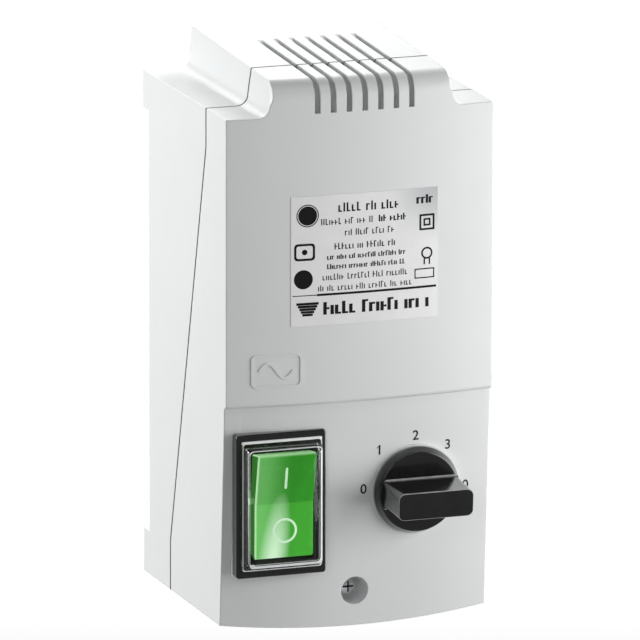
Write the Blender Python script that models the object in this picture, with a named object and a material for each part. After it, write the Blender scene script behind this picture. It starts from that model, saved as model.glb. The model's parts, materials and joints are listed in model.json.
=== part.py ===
"""Five-step transformer speed controller in a moulded wall box, as an assembly of its separate pieces.

Metres, +Z up. The front faces -Y, the wall plane is Y = 0, and the origin is the middle of the
wall face. Every size below is in metres and every angle in degrees unless its name says otherwise.
"""

import math

import bmesh
import bpy
from mathutils import Matrix, Vector

# ---- Housing ----------------------------------------------------------------------------------
HALF_WIDTH = 0.055
CORNER_DEPTH = 0.101  # wall plane to the upper panel, at the panel's side edges
BOW = 0.004  # how far the front bulges at its middle
SHOULDER_Z = 0.1015
BOTTOM_Z = -0.102
BOTTOM_DROP = 0.0033  # how far the bottom edge curves down at its middle
WALL = 0.003
EDGE_ROUND = 0.0006

STEP_Z = -0.0135  # lower edge of the upper panel
STEP_ROUND = 0.0016
PANEL_DEPTH = 0.099  # control panel at its top, at the side edges
PANEL_TILT = 3.6  # the control panel leans back towards its bottom

HOOD_HALF_TOP = 0.0364
HOOD_FOOT_X = 0.0423
HOOD_FOOT_ROUND = 0.0045
HOOD_FRONT_Z = 0.1154
HOOD_BACK_Z = 0.119
HOOD_FRONT_Y = -0.0988
HOOD_BACK_Y = -0.0056
HOOD_FRONT_ROUND = 0.0046

SEAM_TOP = (-0.0775, 0.086)  # (y, z) where the side seam turns off the vertical
SEAM_FOOT = (-0.0335, -0.082)
SEAM_GAP = 0.00035

GROOVE_COUNT = 7
GROOVE_PITCH = 0.00646
GROOVE_WIDTH = 0.002
GROOVE_DEPTH = 0.0016
GROOVE_MIDDLE_X = 0.0007
GROOVE_FOOT_Z = 0.1023
GROOVE_BACK_Y = -0.035

# ---- Rating label ------------------------------------------------------------------------------
LABEL_X = (-0.0293, 0.0311)
LABEL_Z = (0.0183, 0.0698)
LABEL_FRONT = 0.0003  # how far its faces stand off the front
LABEL_BACK = 0.0001

# ---- Rear of the base --------------------------------------------------------------------------
BACK_Y = -0.0105  # inner face of the back wall beside the middle plateau
PLATEAU_HALF = 0.038
REBATE_DEPTH = 0.0075
REBATE_Z = (-0.0845, 0.0865)
WELL_HALF = 0.033
WALL_SCREW_HOLE = 0.0025
WALL_SCREW_X = 0.044
WALL_SCREW_Z = 0.094

# ---- Cover screw -------------------------------------------------------------------------------
COVER_SCREW_X = -0.0008
COVER_SCREW_Z = -0.0912
COUNTERBORE_RADIUS = 0.0055
COUNTERBORE_FLOOR_Y = -0.0882
SLEEVE_RADIUS = 0.0078
SLEEVE_BACK_Y = -0.0604
POST_RADIUS = 0.005

# ---- Hooks that hold the cover's top edge under the base's shoulder --------------------------------
HOOK_X = (0.0445, 0.0505)
HOOK_THICK = 0.0018

# ---- Cable entries -----------------------------------------------------------------------------
GROMMET_X = 0.026
GROMMET_Y = -0.019
GROMMET_HOLE = 0.0064
GROMMET_FLANGE = 0.0083
GROMMET_SEAT_Z = -0.1038
CABLE_BORE = 0.0038

# ---- Switch ------------------------------------------------------------------------------------
SWITCH_X = -0.033
BEZEL_Z = -0.0524
BEZEL_SIZE = (0.037, 0.0576)
BEZEL_BACK_Y = -0.0995
BEZEL_FRONT_Y = -0.1033
SEAT_Y = -0.0992
SEAT_MARGIN = 0.0004
PIVOT_Y = -0.0975
PIVOT_Z = -0.0517
SWITCH_BODY_SIZE = (0.0294, 0.0494)
SWITCH_BODY_Y = (-0.103, -0.068)
SWITCH_WALL = 0.0012
HOOD_BASE_SIZE = (0.0338, 0.0524)
HOOD_WINDOW_SIZE = (0.0297, 0.0465)
HOOD_PLATE_Y = -0.1099
ROCKER_HALF = (0.0131, 0.0218)
ROCKER_REST = 6.0  # off: the lower half is pressed in
LEVER_REST = 8.0
LEVER_Y = -0.0835
BLADE_Z = {"neutral": PIVOT_Z + 0.0165, "common": PIVOT_Z, "load": PIVOT_Z - 0.0125}
BLADE_FRONT = {"neutral": -0.078, "common": LEVER_Y + 0.0006, "load": LEVER_Y + 0.0009}
BLADE_BACK_Y = -0.060
BLADE_HALF = (0.0031, 0.0004)
LAMP_Z = PIVOT_Z + 0.0125

# ---- Rotary switch and knob --------------------------------------------------------------------
KNOB_X = 0.0235
KNOB_Z = -0.0513
KNOB_SEAT = 0.0009  # how far the flat round seat stands off the panel at the knob's middle
KNOB_SEAT_RADIUS = 0.01825
KNOB_RADIUS = 0.0176
KNOB_FACE_RADIUS = 0.0163
KNOB_BACK = 0.0013
KNOB_FACE = 0.005
GRIP_FRONT = 0.0233
GRIP_HALF_LENGTH = 0.016
GRIP_HALF_WIDTH = 0.005
GRIP_ROOT_HALF_WIDTH = 0.0059
SHAFT_RADIUS = 0.003
BUSH_RADIUS = 0.0048
ROTARY_RADIUS = 0.017
ROTARY_FRONT = 0.0034
ROTARY_DEPTH = 0.0205
TAG_RADIUS = 0.012
TAG_ANGLES = (180, 135, 90, 45, 0)
COMMON_ANGLE = 270
TAG_HALF = (0.0014, 0.0004)
TAG_REACH = (-0.0025, 0.0085)  # from the back of the rotary housing
WAFER_THICK = 0.0019

# ---- Transformer -------------------------------------------------------------------------------
CORE_Y = -0.0385
CORE_Z = 0.042
CORE_HALF = (0.048, 0.018, 0.040)
LIMB_HALF = 0.016
WINDOW_HALF_HEIGHT = 0.024
CORE_HOLE = (0.040, 0.032)
CORE_BOLT_HOLE = 0.0023
CORE_POST_FRONT_Y = -0.0202
LIMB_GAP = 0.0004
FORMER_WALL = 0.0015
FORMER_FLANGE = (0.0314, 0.0325)
COIL_HALF = (0.0305, 0.0315, 0.0214)
COIL_CORNER = 0.008
TAPE_THICK = 0.0005
TAPE_HALF_HEIGHT = 0.014

# ---- Terminal block ----------------------------------------------------------------------------
BLOCK_HALF_WIDTH = 0.023
BLOCK_Y = (-0.020, -0.0034)
BLOCK_Z = (-0.084, -0.066)
BLOCK_POLES = 4
BLOCK_PITCH = 0.011

GAP = 0.0003
LEAD_RADIUS = 0.0011
OVER = 0.001  # how far a cutter runs past what it cuts
CLEAR_Z = 0.13  # beyond the box in every direction

TILT_SLOPE = math.tan(math.radians(PANEL_TILT))


# ---- Helpers -----------------------------------------------------------------------------------
def clear_scene():
    for obj in list(bpy.data.objects):
        bpy.data.objects.remove(obj)


def material(name, colour, roughness, metallic=0.0, alpha=1.0):
    made = bpy.data.materials.new(name)
    made.use_nodes = True
    shader = made.node_tree.nodes["Principled BSDF"]
    shader.inputs["Base Color"].default_value = (*colour, 1.0)
    shader.inputs["Roughness"].default_value = roughness
    shader.inputs["Metallic"].default_value = metallic
    shader.inputs["Alpha"].default_value = alpha
    made.diffuse_color = (*colour, alpha)
    return made


def own_material(name, finish):
    """Each part has a material of its own, named after it."""
    own = finish.copy()
    own.name = name
    return own


def object_from(bm, name, finish=None, parent=None):
    """Turns a bmesh into an object. Without a finish it is a hidden cutter."""
    bmesh.ops.recalc_face_normals(bm, faces=bm.faces)
    mesh = bpy.data.meshes.new(name)
    bm.to_mesh(mesh)
    bm.free()
    obj = bpy.data.objects.new(name, mesh)
    bpy.context.scene.collection.objects.link(obj)
    if finish is None:
        obj.hide_render = True
        obj.display_type = "WIRE"
    else:
        mesh.materials.append(own_material(name, finish))
        mesh.shade_smooth()
        mesh.set_sharp_from_angle(angle=math.radians(35))
    if parent is not None:
        obj.parent = parent
    return obj


def add_box(bm, low, high):
    low, high = Vector(low), Vector(high)
    size = high - low
    place = Matrix.Translation((low + high) / 2) @ Matrix.Diagonal((*size, 1.0))
    bmesh.ops.create_cube(bm, size=1.0, matrix=place)


def box(name, low, high, finish=None, parent=None):
    bm = bmesh.new()
    add_box(bm, low, high)
    return object_from(bm, name, finish, parent)


def add_prism(bm, outline, axis, start, end):
    """Extrudes a closed outline, given in the other two axes' order, along one axis."""
    others = [i for i in range(3) if i != axis]
    rings = []
    for offset in (start, end):
        ring = []
        for a, b in outline:
            point = [0.0, 0.0, 0.0]
            point[axis] = offset
            point[others[0]], point[others[1]] = a, b
            ring.append(bm.verts.new(point))
        rings.append(ring)
    join_rings(bm, rings)


def join_rings(bm, rings, closed=False):
    """Skins a row of equal rings. An open row gets a cap at each end."""
    count = len(rings[0])
    pairs = list(zip(rings, rings[1:]))
    if closed:
        pairs.append((rings[-1], rings[0]))
    for first, second in pairs:
        for i in range(count):
            j = (i + 1) % count
            bm.faces.new((first[i], first[j], second[j], second[i]))
    if not closed:
        bm.faces.new(rings[0])
        bm.faces.new(rings[-1])


def prism(name, outline, axis, start, end, finish=None, parent=None):
    bm = bmesh.new()
    add_prism(bm, outline, axis, start, end)
    return object_from(bm, name, finish, parent)


def circle(radius, count, centre=(0.0, 0.0)):
    angles = [math.tau * i / count for i in range(count)]
    return [(centre[0] + radius * math.cos(a), centre[1] + radius * math.sin(a)) for a in angles]


def rounded_rectangle(half_a, half_b, radius, steps=3, centre=(0.0, 0.0)):
    points = []
    for quarter, (sa, sb) in enumerate(((1, 1), (-1, 1), (-1, -1), (1, -1))):
        for i in range(steps + 1):
            angle = math.pi / 2 * (quarter + i / steps)
            a = centre[0] + sa * (half_a - radius) + radius * math.cos(angle)
            b = centre[1] + sb * (half_b - radius) + radius * math.sin(angle)
            points.append((a, b))
    return points


def turned(name, profile, count, finish=None, parent=None, axis=1, centre=(0.0, 0.0, 0.0)):
    """Revolves (radius, position) pairs round an axis. The profile is a closed loop, or ends on the axis."""
    bm = bmesh.new()
    others = [i for i in range(3) if i != axis]
    rings = []
    for radius, position in profile:
        ring = []
        for a, b in circle(radius, 1 if radius == 0.0 else count):
            point = [0.0, 0.0, 0.0]
            point[axis], point[others[0]], point[others[1]] = position, a, b
            ring.append(bm.verts.new(Vector(point) + Vector(centre)))
        rings.append(ring)
    solid = len(rings[0]) == 1
    pairs = list(zip(rings, rings[1:]))
    if not solid:
        pairs.append((rings[-1], rings[0]))
    for first, second in pairs:
        for i in range(count):
            j = (i + 1) % count
            near = [first[i % len(first)], first[j % len(first)]]
            far = [second[j % len(second)], second[i % len(second)]]
            bm.faces.new(list(dict.fromkeys(near + far)))
    return object_from(bm, name, finish, parent)


def disc(name, radius, start, end, count, parent):
    """A plain round blank along its parent's Y axis."""
    return turned(name, [(0.0, start), (radius, start), (radius, end), (0.0, end)], count, parent=parent)


def boolean(obj, other, operation="DIFFERENCE"):
    modifier = obj.modifiers.new(f"{operation.lower()} {other.name}", "BOOLEAN")
    modifier.operation = operation
    modifier.object = other
    modifier.solver = "EXACT"


def tube(name, points, radius, finish, parent=None, resolution=2, steps=2):
    """A round lead or wire on a smooth curve through its points."""
    route = [Vector(p) for p in points]
    smooth = []
    for i in range(len(route) - 1):
        before = route[max(i - 1, 0)]
        after = route[min(i + 2, len(route) - 1)]
        start, end = route[i], route[i + 1]
        for k in range(steps):
            t = k / steps
            a = 2 * start
            b = (end - before) * t
            c = (2 * before - 5 * start + 4 * end - after) * t * t
            d = (3 * start - before - 3 * end + after) * t * t * t
            smooth.append((a + b + c + d) / 2)
    smooth.append(route[-1])
    data = bpy.data.curves.new(name, "CURVE")
    data.dimensions = "3D"
    data.bevel_depth = radius
    data.bevel_resolution = resolution
    data.use_fill_caps = True
    spline = data.splines.new("POLY")
    spline.points.add(len(smooth) - 1)
    for point, place in zip(spline.points, smooth):
        point.co = (*place, 1.0)
    data.materials.append(own_material(name, finish))
    obj = bpy.data.objects.new(name, data)
    bpy.context.scene.collection.objects.link(obj)
    if parent is not None:
        obj.parent = parent
    return obj


def empty(name, location, tilt=0.0):
    obj = bpy.data.objects.new(name, None)
    obj.location = location
    obj.rotation_euler = (math.radians(tilt), 0.0, 0.0)
    bpy.context.scene.collection.objects.link(obj)
    return obj


# ---- Housing shape -----------------------------------------------------------------------------
def bulge(x):
    return BOW * (1 - (x / HALF_WIDTH) ** 2)


def bottom_z(x):
    return BOTTOM_Z - BOTTOM_DROP * (1 - (x / HALF_WIDTH) ** 2)


def panel_y(x, z):
    """The control panel's outer face."""
    return -(PANEL_DEPTH - (STEP_Z - z) * TILT_SLOPE) - bulge(x)


def hood_z(y):
    rise = (HOOD_BACK_Z - HOOD_FRONT_Z) / (HOOD_BACK_Y - HOOD_FRONT_Y)
    return HOOD_FRONT_Z + (y - HOOD_FRONT_Y) * rise


def half_stations(inset):
    """(x, on the hood's top, height elsewhere) from the side wall to the middle."""
    reach = HOOD_FOOT_ROUND + inset
    found = [(HALF_WIDTH - inset, False, SHOULDER_Z - inset)]
    for angle in (-90, -125, -155, -180):
        x = HOOD_FOOT_X + reach * math.cos(math.radians(angle))
        z = SHOULDER_Z + HOOD_FOOT_ROUND + reach * math.sin(math.radians(angle))
        found.append((x, False, z))
    found += [(HOOD_HALF_TOP - inset, True, 0.0), (0.024, True, 0.0), (0.012, True, 0.0)]
    return found


def stations(inset):
    side = half_stations(inset)
    mirrored = [(-x, top, z) for x, top, z in side]
    return mirrored + [(0.0, True, 0.0)] + side[::-1]


def section(x, on_top, height, inset, back):
    """The housing's outline in Y and Z at one x, moved in by the wall."""
    front = -CORNER_DEPTH - bulge(x) + inset
    foot = bottom_z(x) + inset
    step = STEP_Z + inset
    rounding = max(HOOD_FRONT_ROUND - inset, EDGE_ROUND) if on_top else EDGE_ROUND
    top_front = hood_z(front + rounding) - inset if on_top else height
    top_back = hood_z(back) - inset if on_top else height
    points = [(back, foot), (panel_y(x, foot) + inset, foot), (panel_y(x, step) + inset, step)]
    for i in range(4):
        angle = math.radians(30 * i)
        y = front + STEP_ROUND * (1 - math.sin(angle))
        points.append((y, step + STEP_ROUND * (1 - math.cos(angle))))
    for i in range(5):
        angle = math.radians(22.5 * i)
        y = front + rounding * (1 - math.cos(angle))
        points.append((y, top_front - rounding * (1 - math.sin(angle))))
    points.append((back, top_back))
    return points


def envelope(name, inset, back, finish=None):
    """The whole box as one closed solid, base and cover together, its walls moved in by inset."""
    bm = bmesh.new()
    rings = []
    for x, on_top, height in stations(inset):
        outline = section(x, on_top, height, inset, back)
        rings.append([bm.verts.new((x, y, z)) for y, z in outline])
    join_rings(bm, rings)
    bmesh.ops.triangulate(bm, faces=bm.faces)
    return object_from(bm, name, finish)


def seam_line(offset):
    """The seam seen from the side, moved back by offset and run past the box at both ends."""
    top_y, top_z = SEAM_TOP
    foot_y, foot_z = SEAM_FOOT
    lower = [(foot_y + offset, -CLEAR_Z), (foot_y + offset, foot_z)]
    return lower + [(top_y + offset, top_z), (top_y + offset, CLEAR_Z)]


def seam_band(name, front_offset, back_offset):
    outline = seam_line(front_offset) + seam_line(back_offset)[::-1]
    return prism(name, outline, 0, -HALF_WIDTH - OVER, HALF_WIDTH + OVER)


def front_half(name, offset):
    outline = seam_line(offset) + [(-CLEAR_Z, CLEAR_Z), (-CLEAR_Z, -CLEAR_Z)]
    return prism(name, outline, 0, -HALF_WIDTH - OVER, HALF_WIDTH + OVER)


def groove_outline(x):
    """One blind groove from above the hood down its front, as a strip in Y and Z."""
    front = -CORNER_DEPTH - bulge(x)
    top = hood_z(front + HOOD_FRONT_ROUND)
    outer, inner = [], []
    for strip, shift in ((outer, -OVER), (inner, GROOVE_DEPTH)):
        strip.append((front + shift, GROOVE_FOOT_Z))
        for i in range(5):
            angle = math.radians(22.5 * i)
            reach = HOOD_FRONT_ROUND - shift
            y = front + HOOD_FRONT_ROUND - reach * math.cos(angle)
            strip.append((y, top - HOOD_FRONT_ROUND + reach * math.sin(angle)))
        strip.append((GROOVE_BACK_Y, hood_z(GROOVE_BACK_Y) - shift))
    return outer + inner[::-1]


def groove_cutter():
    bm = bmesh.new()
    for i in range(GROOVE_COUNT):
        x = GROOVE_MIDDLE_X + (i - (GROOVE_COUNT - 1) / 2) * GROOVE_PITCH
        add_prism(bm, groove_outline(x), 0, x - GROOVE_WIDTH / 2, x + GROOVE_WIDTH / 2)
    return object_from(bm, "groove_cutter")


def holes(name, places, radius, count, start, end, axis=1):
    """Round cutters of one size, side by side in one object."""
    bm = bmesh.new()
    for place in places:
        add_prism(bm, circle(radius, count, place), axis, start, end)
    return object_from(bm, name)


def corners(x, z, centre_z=0.0):
    return [(sx * x, centre_z + sz * z) for sx in (-1, 1) for sz in (-1, 1)]


def build_base(finish, grooves):
    base = envelope("rear_base", 0.0, 0.0, finish)
    boolean(base, front_half("base_front_cutter", SEAM_GAP))
    hood_low = (-HOOD_FOOT_X - 2 * OVER, HOOD_BACK_Y, SHOULDER_Z + 0.0002)
    boolean(base, box("hood_back_cutter", hood_low, (HOOD_FOOT_X + 2 * OVER, OVER, CLEAR_Z)))

    cavity = envelope("base_cavity", WALL, BACK_Y)
    posts = holes("core_posts", corners(*CORE_HOLE, CORE_Z), POST_RADIUS, 16, CORE_POST_FRONT_Y, 0.0)
    boolean(cavity, posts)
    screw_place = [(COVER_SCREW_X, COVER_SCREW_Z)]
    boolean(cavity, holes("cover_post", screw_place, POST_RADIUS, 16, SLEEVE_BACK_Y + GAP, 0.0))
    boolean(base, cavity)

    well_z = (BOTTOM_Z + WALL, SHOULDER_Z - WALL)
    well = box("middle_well", (-WELL_HALF, BACK_Y - OVER, well_z[0]), (WELL_HALF, -WALL, well_z[1]))
    boolean(well, holes("cover_post_root", screw_place, POST_RADIUS, 16, BACK_Y - 2 * OVER, 0.0))
    boolean(base, well)
    side = HALF_WIDTH - WALL
    foot_top = REBATE_Z[0] - WALL
    head_foot = REBATE_Z[1] + WALL
    for sign, label in ((-1, "left"), (1, "right")):
        near, far = sorted((sign * (WELL_HALF - OVER), sign * side))
        boolean(base, box(f"foot_well_{label}", (near, BACK_Y - OVER, well_z[0]), (far, -WALL, foot_top)))
        boolean(base, box(f"head_well_{label}", (near, BACK_Y - OVER, head_foot), (far, -WALL, well_z[1])))
        near, far = sorted((sign * PLATEAU_HALF, sign * (HALF_WIDTH + OVER)))
        boolean(base, box(f"rebate_{label}", (near, -REBATE_DEPTH, REBATE_Z[0]), (far, OVER, REBATE_Z[1])))

    core_places = corners(*CORE_HOLE, CORE_Z)
    front_y = CORE_POST_FRONT_Y - OVER
    boolean(base, holes("core_screw_holes", core_places, CORE_BOLT_HOLE, 12, front_y, -0.0115))
    front_y = SLEEVE_BACK_Y - OVER
    boolean(base, holes("cover_screw_hole", screw_place, 0.0019, 12, front_y, -0.040))
    wall_places = corners(WALL_SCREW_X, WALL_SCREW_Z)
    boolean(base, holes("wall_screw_holes", wall_places, WALL_SCREW_HOLE, 12, -2 * WALL, OVER))
    entries = [(-GROMMET_X, GROMMET_Y), (GROMMET_X, GROMMET_Y)]
    below = BOTTOM_Z - BOTTOM_DROP - 4 * OVER
    boolean(base, holes("cable_holes", entries, GROMMET_HOLE, 16, below, -0.098, axis=2))
    flange = GROMMET_FLANGE + 2 * GAP
    boolean(base, holes("cable_spot_faces", entries, flange, 16, below, GROMMET_SEAT_Z, axis=2))
    boolean(base, gasket_ring("gasket_groove", 0.0007, 0.0023, -OVER, SEAM_GAP + 0.0019))
    boolean(base, grooves)
    return base


def gasket_ring(name, outer, inner, front_offset, back_offset, finish=None):
    """A closed cord that follows the seam inside the wall's thickness."""
    ring = envelope(name, outer, -0.02, finish)
    boolean(ring, envelope(f"{name}_core", inner, -0.018))
    boolean(ring, seam_band(f"{name}_band", front_offset, back_offset), "INTERSECT")
    return ring


def build_cover(finish, grooves, knob_frame):
    cover = envelope("front_cover", 0.0, 0.0, finish)
    seat_x = BEZEL_SIZE[0] / 2 + SEAT_MARGIN
    seat_z = BEZEL_SIZE[1] / 2 + SEAT_MARGIN
    seat_low = (SWITCH_X - seat_x, SEAT_Y, BEZEL_Z - seat_z)
    seat_high = (SWITCH_X + seat_x, -0.090, BEZEL_Z + seat_z)
    boolean(cover, box("switch_seat", seat_low, seat_high), "UNION")
    inside = Vector((GAP / 3, 0.0, GAP / 3))
    pocket_low = Vector(seat_low) + inside + Vector((0.0, -0.02, 0.0))
    pocket_high = Vector((seat_high[0], SEAT_Y - 0.00005, seat_high[2])) - inside
    boolean(cover, box("switch_pocket", pocket_low, pocket_high))

    boolean(cover, disc("knob_seat", KNOB_SEAT_RADIUS, -KNOB_SEAT, 0.0025, 40, knob_frame), "UNION")

    cavity = envelope("cover_cavity", WALL, -0.005)
    boolean(cavity, sleeve_blank())
    boolean(cover, cavity)
    boolean(cover, disc("rotary_recess", ROTARY_RADIUS + 2 * GAP, ROTARY_FRONT - GAP, 0.012, 28, knob_frame))
    boolean(cover, front_half("cover_half", 0.0), "INTERSECT")
    ledge = SHOULDER_Z - WALL - GAP
    root_y, seam_y, tip_y = SEAM_TOP[0] - 0.0125, SEAM_TOP[0] - OVER, SEAM_TOP[0] + 0.0065
    outline = [(root_y, ledge - HOOK_THICK), (tip_y, ledge - HOOK_THICK), (tip_y, ledge)]
    outline += [(seam_y, ledge), (seam_y, SHOULDER_Z - OVER), (root_y, SHOULDER_Z - OVER)]
    for sign, label in ((-1, "left"), (1, "right")):
        near, far = sorted((sign * HOOK_X[0], sign * HOOK_X[1]))
        boolean(cover, prism(f"hook_{label}", outline, 0, near, far), "UNION")

    body_x = SWITCH_BODY_SIZE[0] / 2 + GAP
    body_z = SWITCH_BODY_SIZE[1] / 2 + GAP
    window_low = (SWITCH_X - body_x, -0.11, PIVOT_Z - body_z)
    window_high = (SWITCH_X + body_x, -0.085, PIVOT_Z + body_z)
    boolean(cover, box("switch_window", window_low, window_high))
    boolean(cover, disc("shaft_hole", BUSH_RADIUS + GAP, -0.01, 0.01, 24, knob_frame))
    place = [(COVER_SCREW_X, COVER_SCREW_Z)]
    boolean(cover, holes("counterbore", place, COUNTERBORE_RADIUS, 24, -CLEAR_Z, COUNTERBORE_FLOOR_Y))
    back_y = SLEEVE_BACK_Y + OVER
    boolean(cover, holes("screw_clearance", place, 0.0023, 12, COUNTERBORE_FLOOR_Y - OVER, back_y))
    boolean(cover, grooves)
    return cover


def sleeve_blank():
    place = [(COVER_SCREW_X, COVER_SCREW_Z)]
    return holes("sleeve_blank", place, SLEEVE_RADIUS, 24, -0.11, SLEEVE_BACK_Y)


def build_label(finish):
    """The rating plate follows the bowed front."""
    places = [LABEL_X[0], -0.018, -0.012, 0.0, 0.012, 0.024, LABEL_X[1]]
    front = [(x, -CORNER_DEPTH - chord_bulge(x) - LABEL_FRONT) for x in places]
    back = [(x, -CORNER_DEPTH - chord_bulge(x) - LABEL_BACK) for x in places]
    return prism("rating_label", front + back[::-1], 2, *LABEL_Z, finish)


def chord_bulge(x):
    """The front's bulge on the straight facets between stations."""
    places = [p for p, _, _ in stations(0.0)]
    for start, end in zip(places, places[1:]):
        if start <= x <= end:
            share = (x - start) / (end - start)
            return bulge(start) * (1 - share) + bulge(end) * share
    return 0.0


# ---- Small pieces ------------------------------------------------------------------------------
def pan_head_screw(name, finish, x, z, seat_y, length, head=0.0035, shank=0.0016, cross=0.0022):
    """A cross-head screw whose head bears on a seat facing the front."""
    profile = [
        (0.0, seat_y - 0.0026),
        (head * 0.62, seat_y - 0.0023),
        (head * 0.93, seat_y - 0.0014),
        (head, seat_y - GAP),
        (shank, seat_y - GAP),
        (shank, seat_y + length - 0.0015),
        (shank * 0.5, seat_y + length),
        (0.0, seat_y + length),
    ]
    screw = turned(name, profile, 16, finish, centre=(x, 0.0, z))
    bar = 0.00035
    for label, half_x, half_z, floor in (("across", cross, bar, 0.0012), ("up", bar, cross, 0.0013)):
        low = (x - half_x, seat_y - 0.004, z - half_z)
        high = (x + half_x, seat_y - floor, z + half_z)
        boolean(screw, box(f"{name}_slot_{label}", low, high))
    return screw


def hex_screw(name, finish, x, z, seat_y, length):
    """A flanged hexagon screw that points back into the base."""
    flange = [(0.0, seat_y - 0.0016), (0.0048, seat_y - 0.0014), (0.005, seat_y - GAP), (0.002, seat_y - GAP)]
    profile = flange + [(0.002, seat_y + length), (0.0, seat_y + length)]
    screw = turned(name, profile, 12, finish, centre=(x, 0.0, z))
    head = prism(f"{name}_hexagon", circle(0.0039, 6, (x, z)), 1, seat_y - 0.0042, seat_y - 0.001)
    boolean(screw, head, "UNION")
    return screw


def grommet(name, finish, x):
    """A rubber bush pressed into the bottom wall: a flange, a neck and an inner bead round one bore."""
    seat = GROMMET_SEAT_Z
    neck = GROMMET_HOLE - GAP
    bead = GROMMET_HOLE + 0.0007
    inner = -0.0995
    profile = [
        (CABLE_BORE, seat - 0.0022),
        (GROMMET_FLANGE - 0.0008, seat - 0.0022),
        (GROMMET_FLANGE, seat - 0.0014),
        (GROMMET_FLANGE, seat - GAP),
        (neck, seat - GAP),
        (neck, inner),
        (bead, inner),
        (bead - 0.0012, inner + 0.0022),
        (CABLE_BORE, inner + 0.0022),
    ]
    return turned(name, profile[::-1], 16, finish, axis=2, centre=(x, GROMMET_Y, 0.0))


def ring_prism(name, outer, inner, axis, start, end, finish):
    """A straight-sided ring between two outlines with the same number of points."""
    bm = bmesh.new()
    others = [i for i in range(3) if i != axis]
    rings = []
    for outline, offset in ((outer, start), (outer, end), (inner, end), (inner, start)):
        ring = []
        for a, b in outline:
            point = [0.0, 0.0, 0.0]
            point[axis], point[others[0]], point[others[1]] = offset, a, b
            ring.append(bm.verts.new(point))
        rings.append(ring)
    join_rings(bm, rings, closed=True)
    return object_from(bm, name, finish)


# ---- Transformer -------------------------------------------------------------------------------
def build_core(finish):
    low = (-CORE_HALF[0], CORE_Y - CORE_HALF[1], CORE_Z - CORE_HALF[2])
    high = (CORE_HALF[0], CORE_Y + CORE_HALF[1], CORE_Z + CORE_HALF[2])
    core = box("core_stack", low, high, finish)
    for sign, label in ((-1, "left"), (1, "right")):
        near, far = sorted((sign * LIMB_HALF, sign * 2 * LIMB_HALF))
        window_low = (near, low[1] - OVER, CORE_Z - WINDOW_HALF_HEIGHT)
        window_high = (far, high[1] + OVER, CORE_Z + WINDOW_HALF_HEIGHT)
        boolean(core, box(f"core_window_{label}", window_low, window_high))
    places = corners(*CORE_HOLE, CORE_Z)
    boolean(core, holes("core_bolt_holes", places, CORE_BOLT_HOLE, 12, low[1] - OVER, high[1] + OVER))
    return core


def build_former(finish):
    """The coil former: a square tube on the middle limb with a flange at each end."""
    limb_x, limb_y = LIMB_HALF + LIMB_GAP, CORE_HALF[1] + LIMB_GAP
    tube_x, tube_y = limb_x + FORMER_WALL, limb_y + FORMER_WALL
    reach = WINDOW_HALF_HEIGHT - 2 * GAP
    former = centred_box("coil_former", tube_x, tube_y, -reach, reach, finish)
    for sign, label in ((-1, "lower"), (1, "upper")):
        near, far = sorted((sign * reach, sign * (reach - FORMER_WALL)))
        boolean(former, centred_box(f"former_flange_{label}", *FORMER_FLANGE, near, far), "UNION")
    boolean(former, centred_box("limb_passage", limb_x, limb_y, -0.03, 0.03))
    return former


def centred_box(name, half_x, half_y, low, high, finish=None):
    """A box round the core's middle limb, its ends given from the core's centre."""
    low_corner = (-half_x, CORE_Y - half_y, CORE_Z + low)
    return box(name, low_corner, (half_x, CORE_Y + half_y, CORE_Z + high), finish)


def build_coil(copper, tape):
    half_x, half_y, half_z = COIL_HALF
    clear = LIMB_GAP + FORMER_WALL + GAP
    middle = (0.0, CORE_Y)
    outer = rounded_rectangle(half_x, half_y, COIL_CORNER, centre=middle)
    inner = rounded_rectangle(LIMB_HALF + clear, CORE_HALF[1] + clear, GAP, centre=middle)
    ring_prism("winding", outer, inner, 2, CORE_Z - half_z, CORE_Z + half_z, copper)
    outlines = []
    for grown in (GAP + TAPE_THICK, GAP):
        outlines.append(rounded_rectangle(half_x + grown, half_y + grown, COIL_CORNER + grown, centre=middle))
    ring_prism("coil_tape", *outlines, 2, CORE_Z - TAPE_HALF_HEIGHT, CORE_Z + TAPE_HALF_HEIGHT, tape)


def build_transformer(finishes):
    build_core(finishes["steel_laminations"])
    build_former(finishes["former_nylon"])
    build_coil(finishes["copper"], finishes["tape"])
    front = CORE_Y - COIL_HALF[1] - TAPE_THICK - 2 * GAP
    outline = rounded_rectangle(0.008, 0.0035, 0.001, steps=2, centre=(0.0, CORE_Z + 0.004))
    prism("thermal_cutout", outline, 1, front - 0.0042, front, finishes["black_plastic"])
    seat = CORE_Y - CORE_HALF[1]
    labels = ("left_lower", "left_upper", "right_lower", "right_upper")
    for (x, z), label in zip(corners(*CORE_HOLE, CORE_Z), labels):
        hex_screw(f"core_screw_{label}", finishes["zinc"], x, z, seat, 0.0425)


# ---- Terminal block ----------------------------------------------------------------------------
def pole_x(pole):
    return (pole - (BLOCK_POLES - 1) / 2) * BLOCK_PITCH


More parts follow.
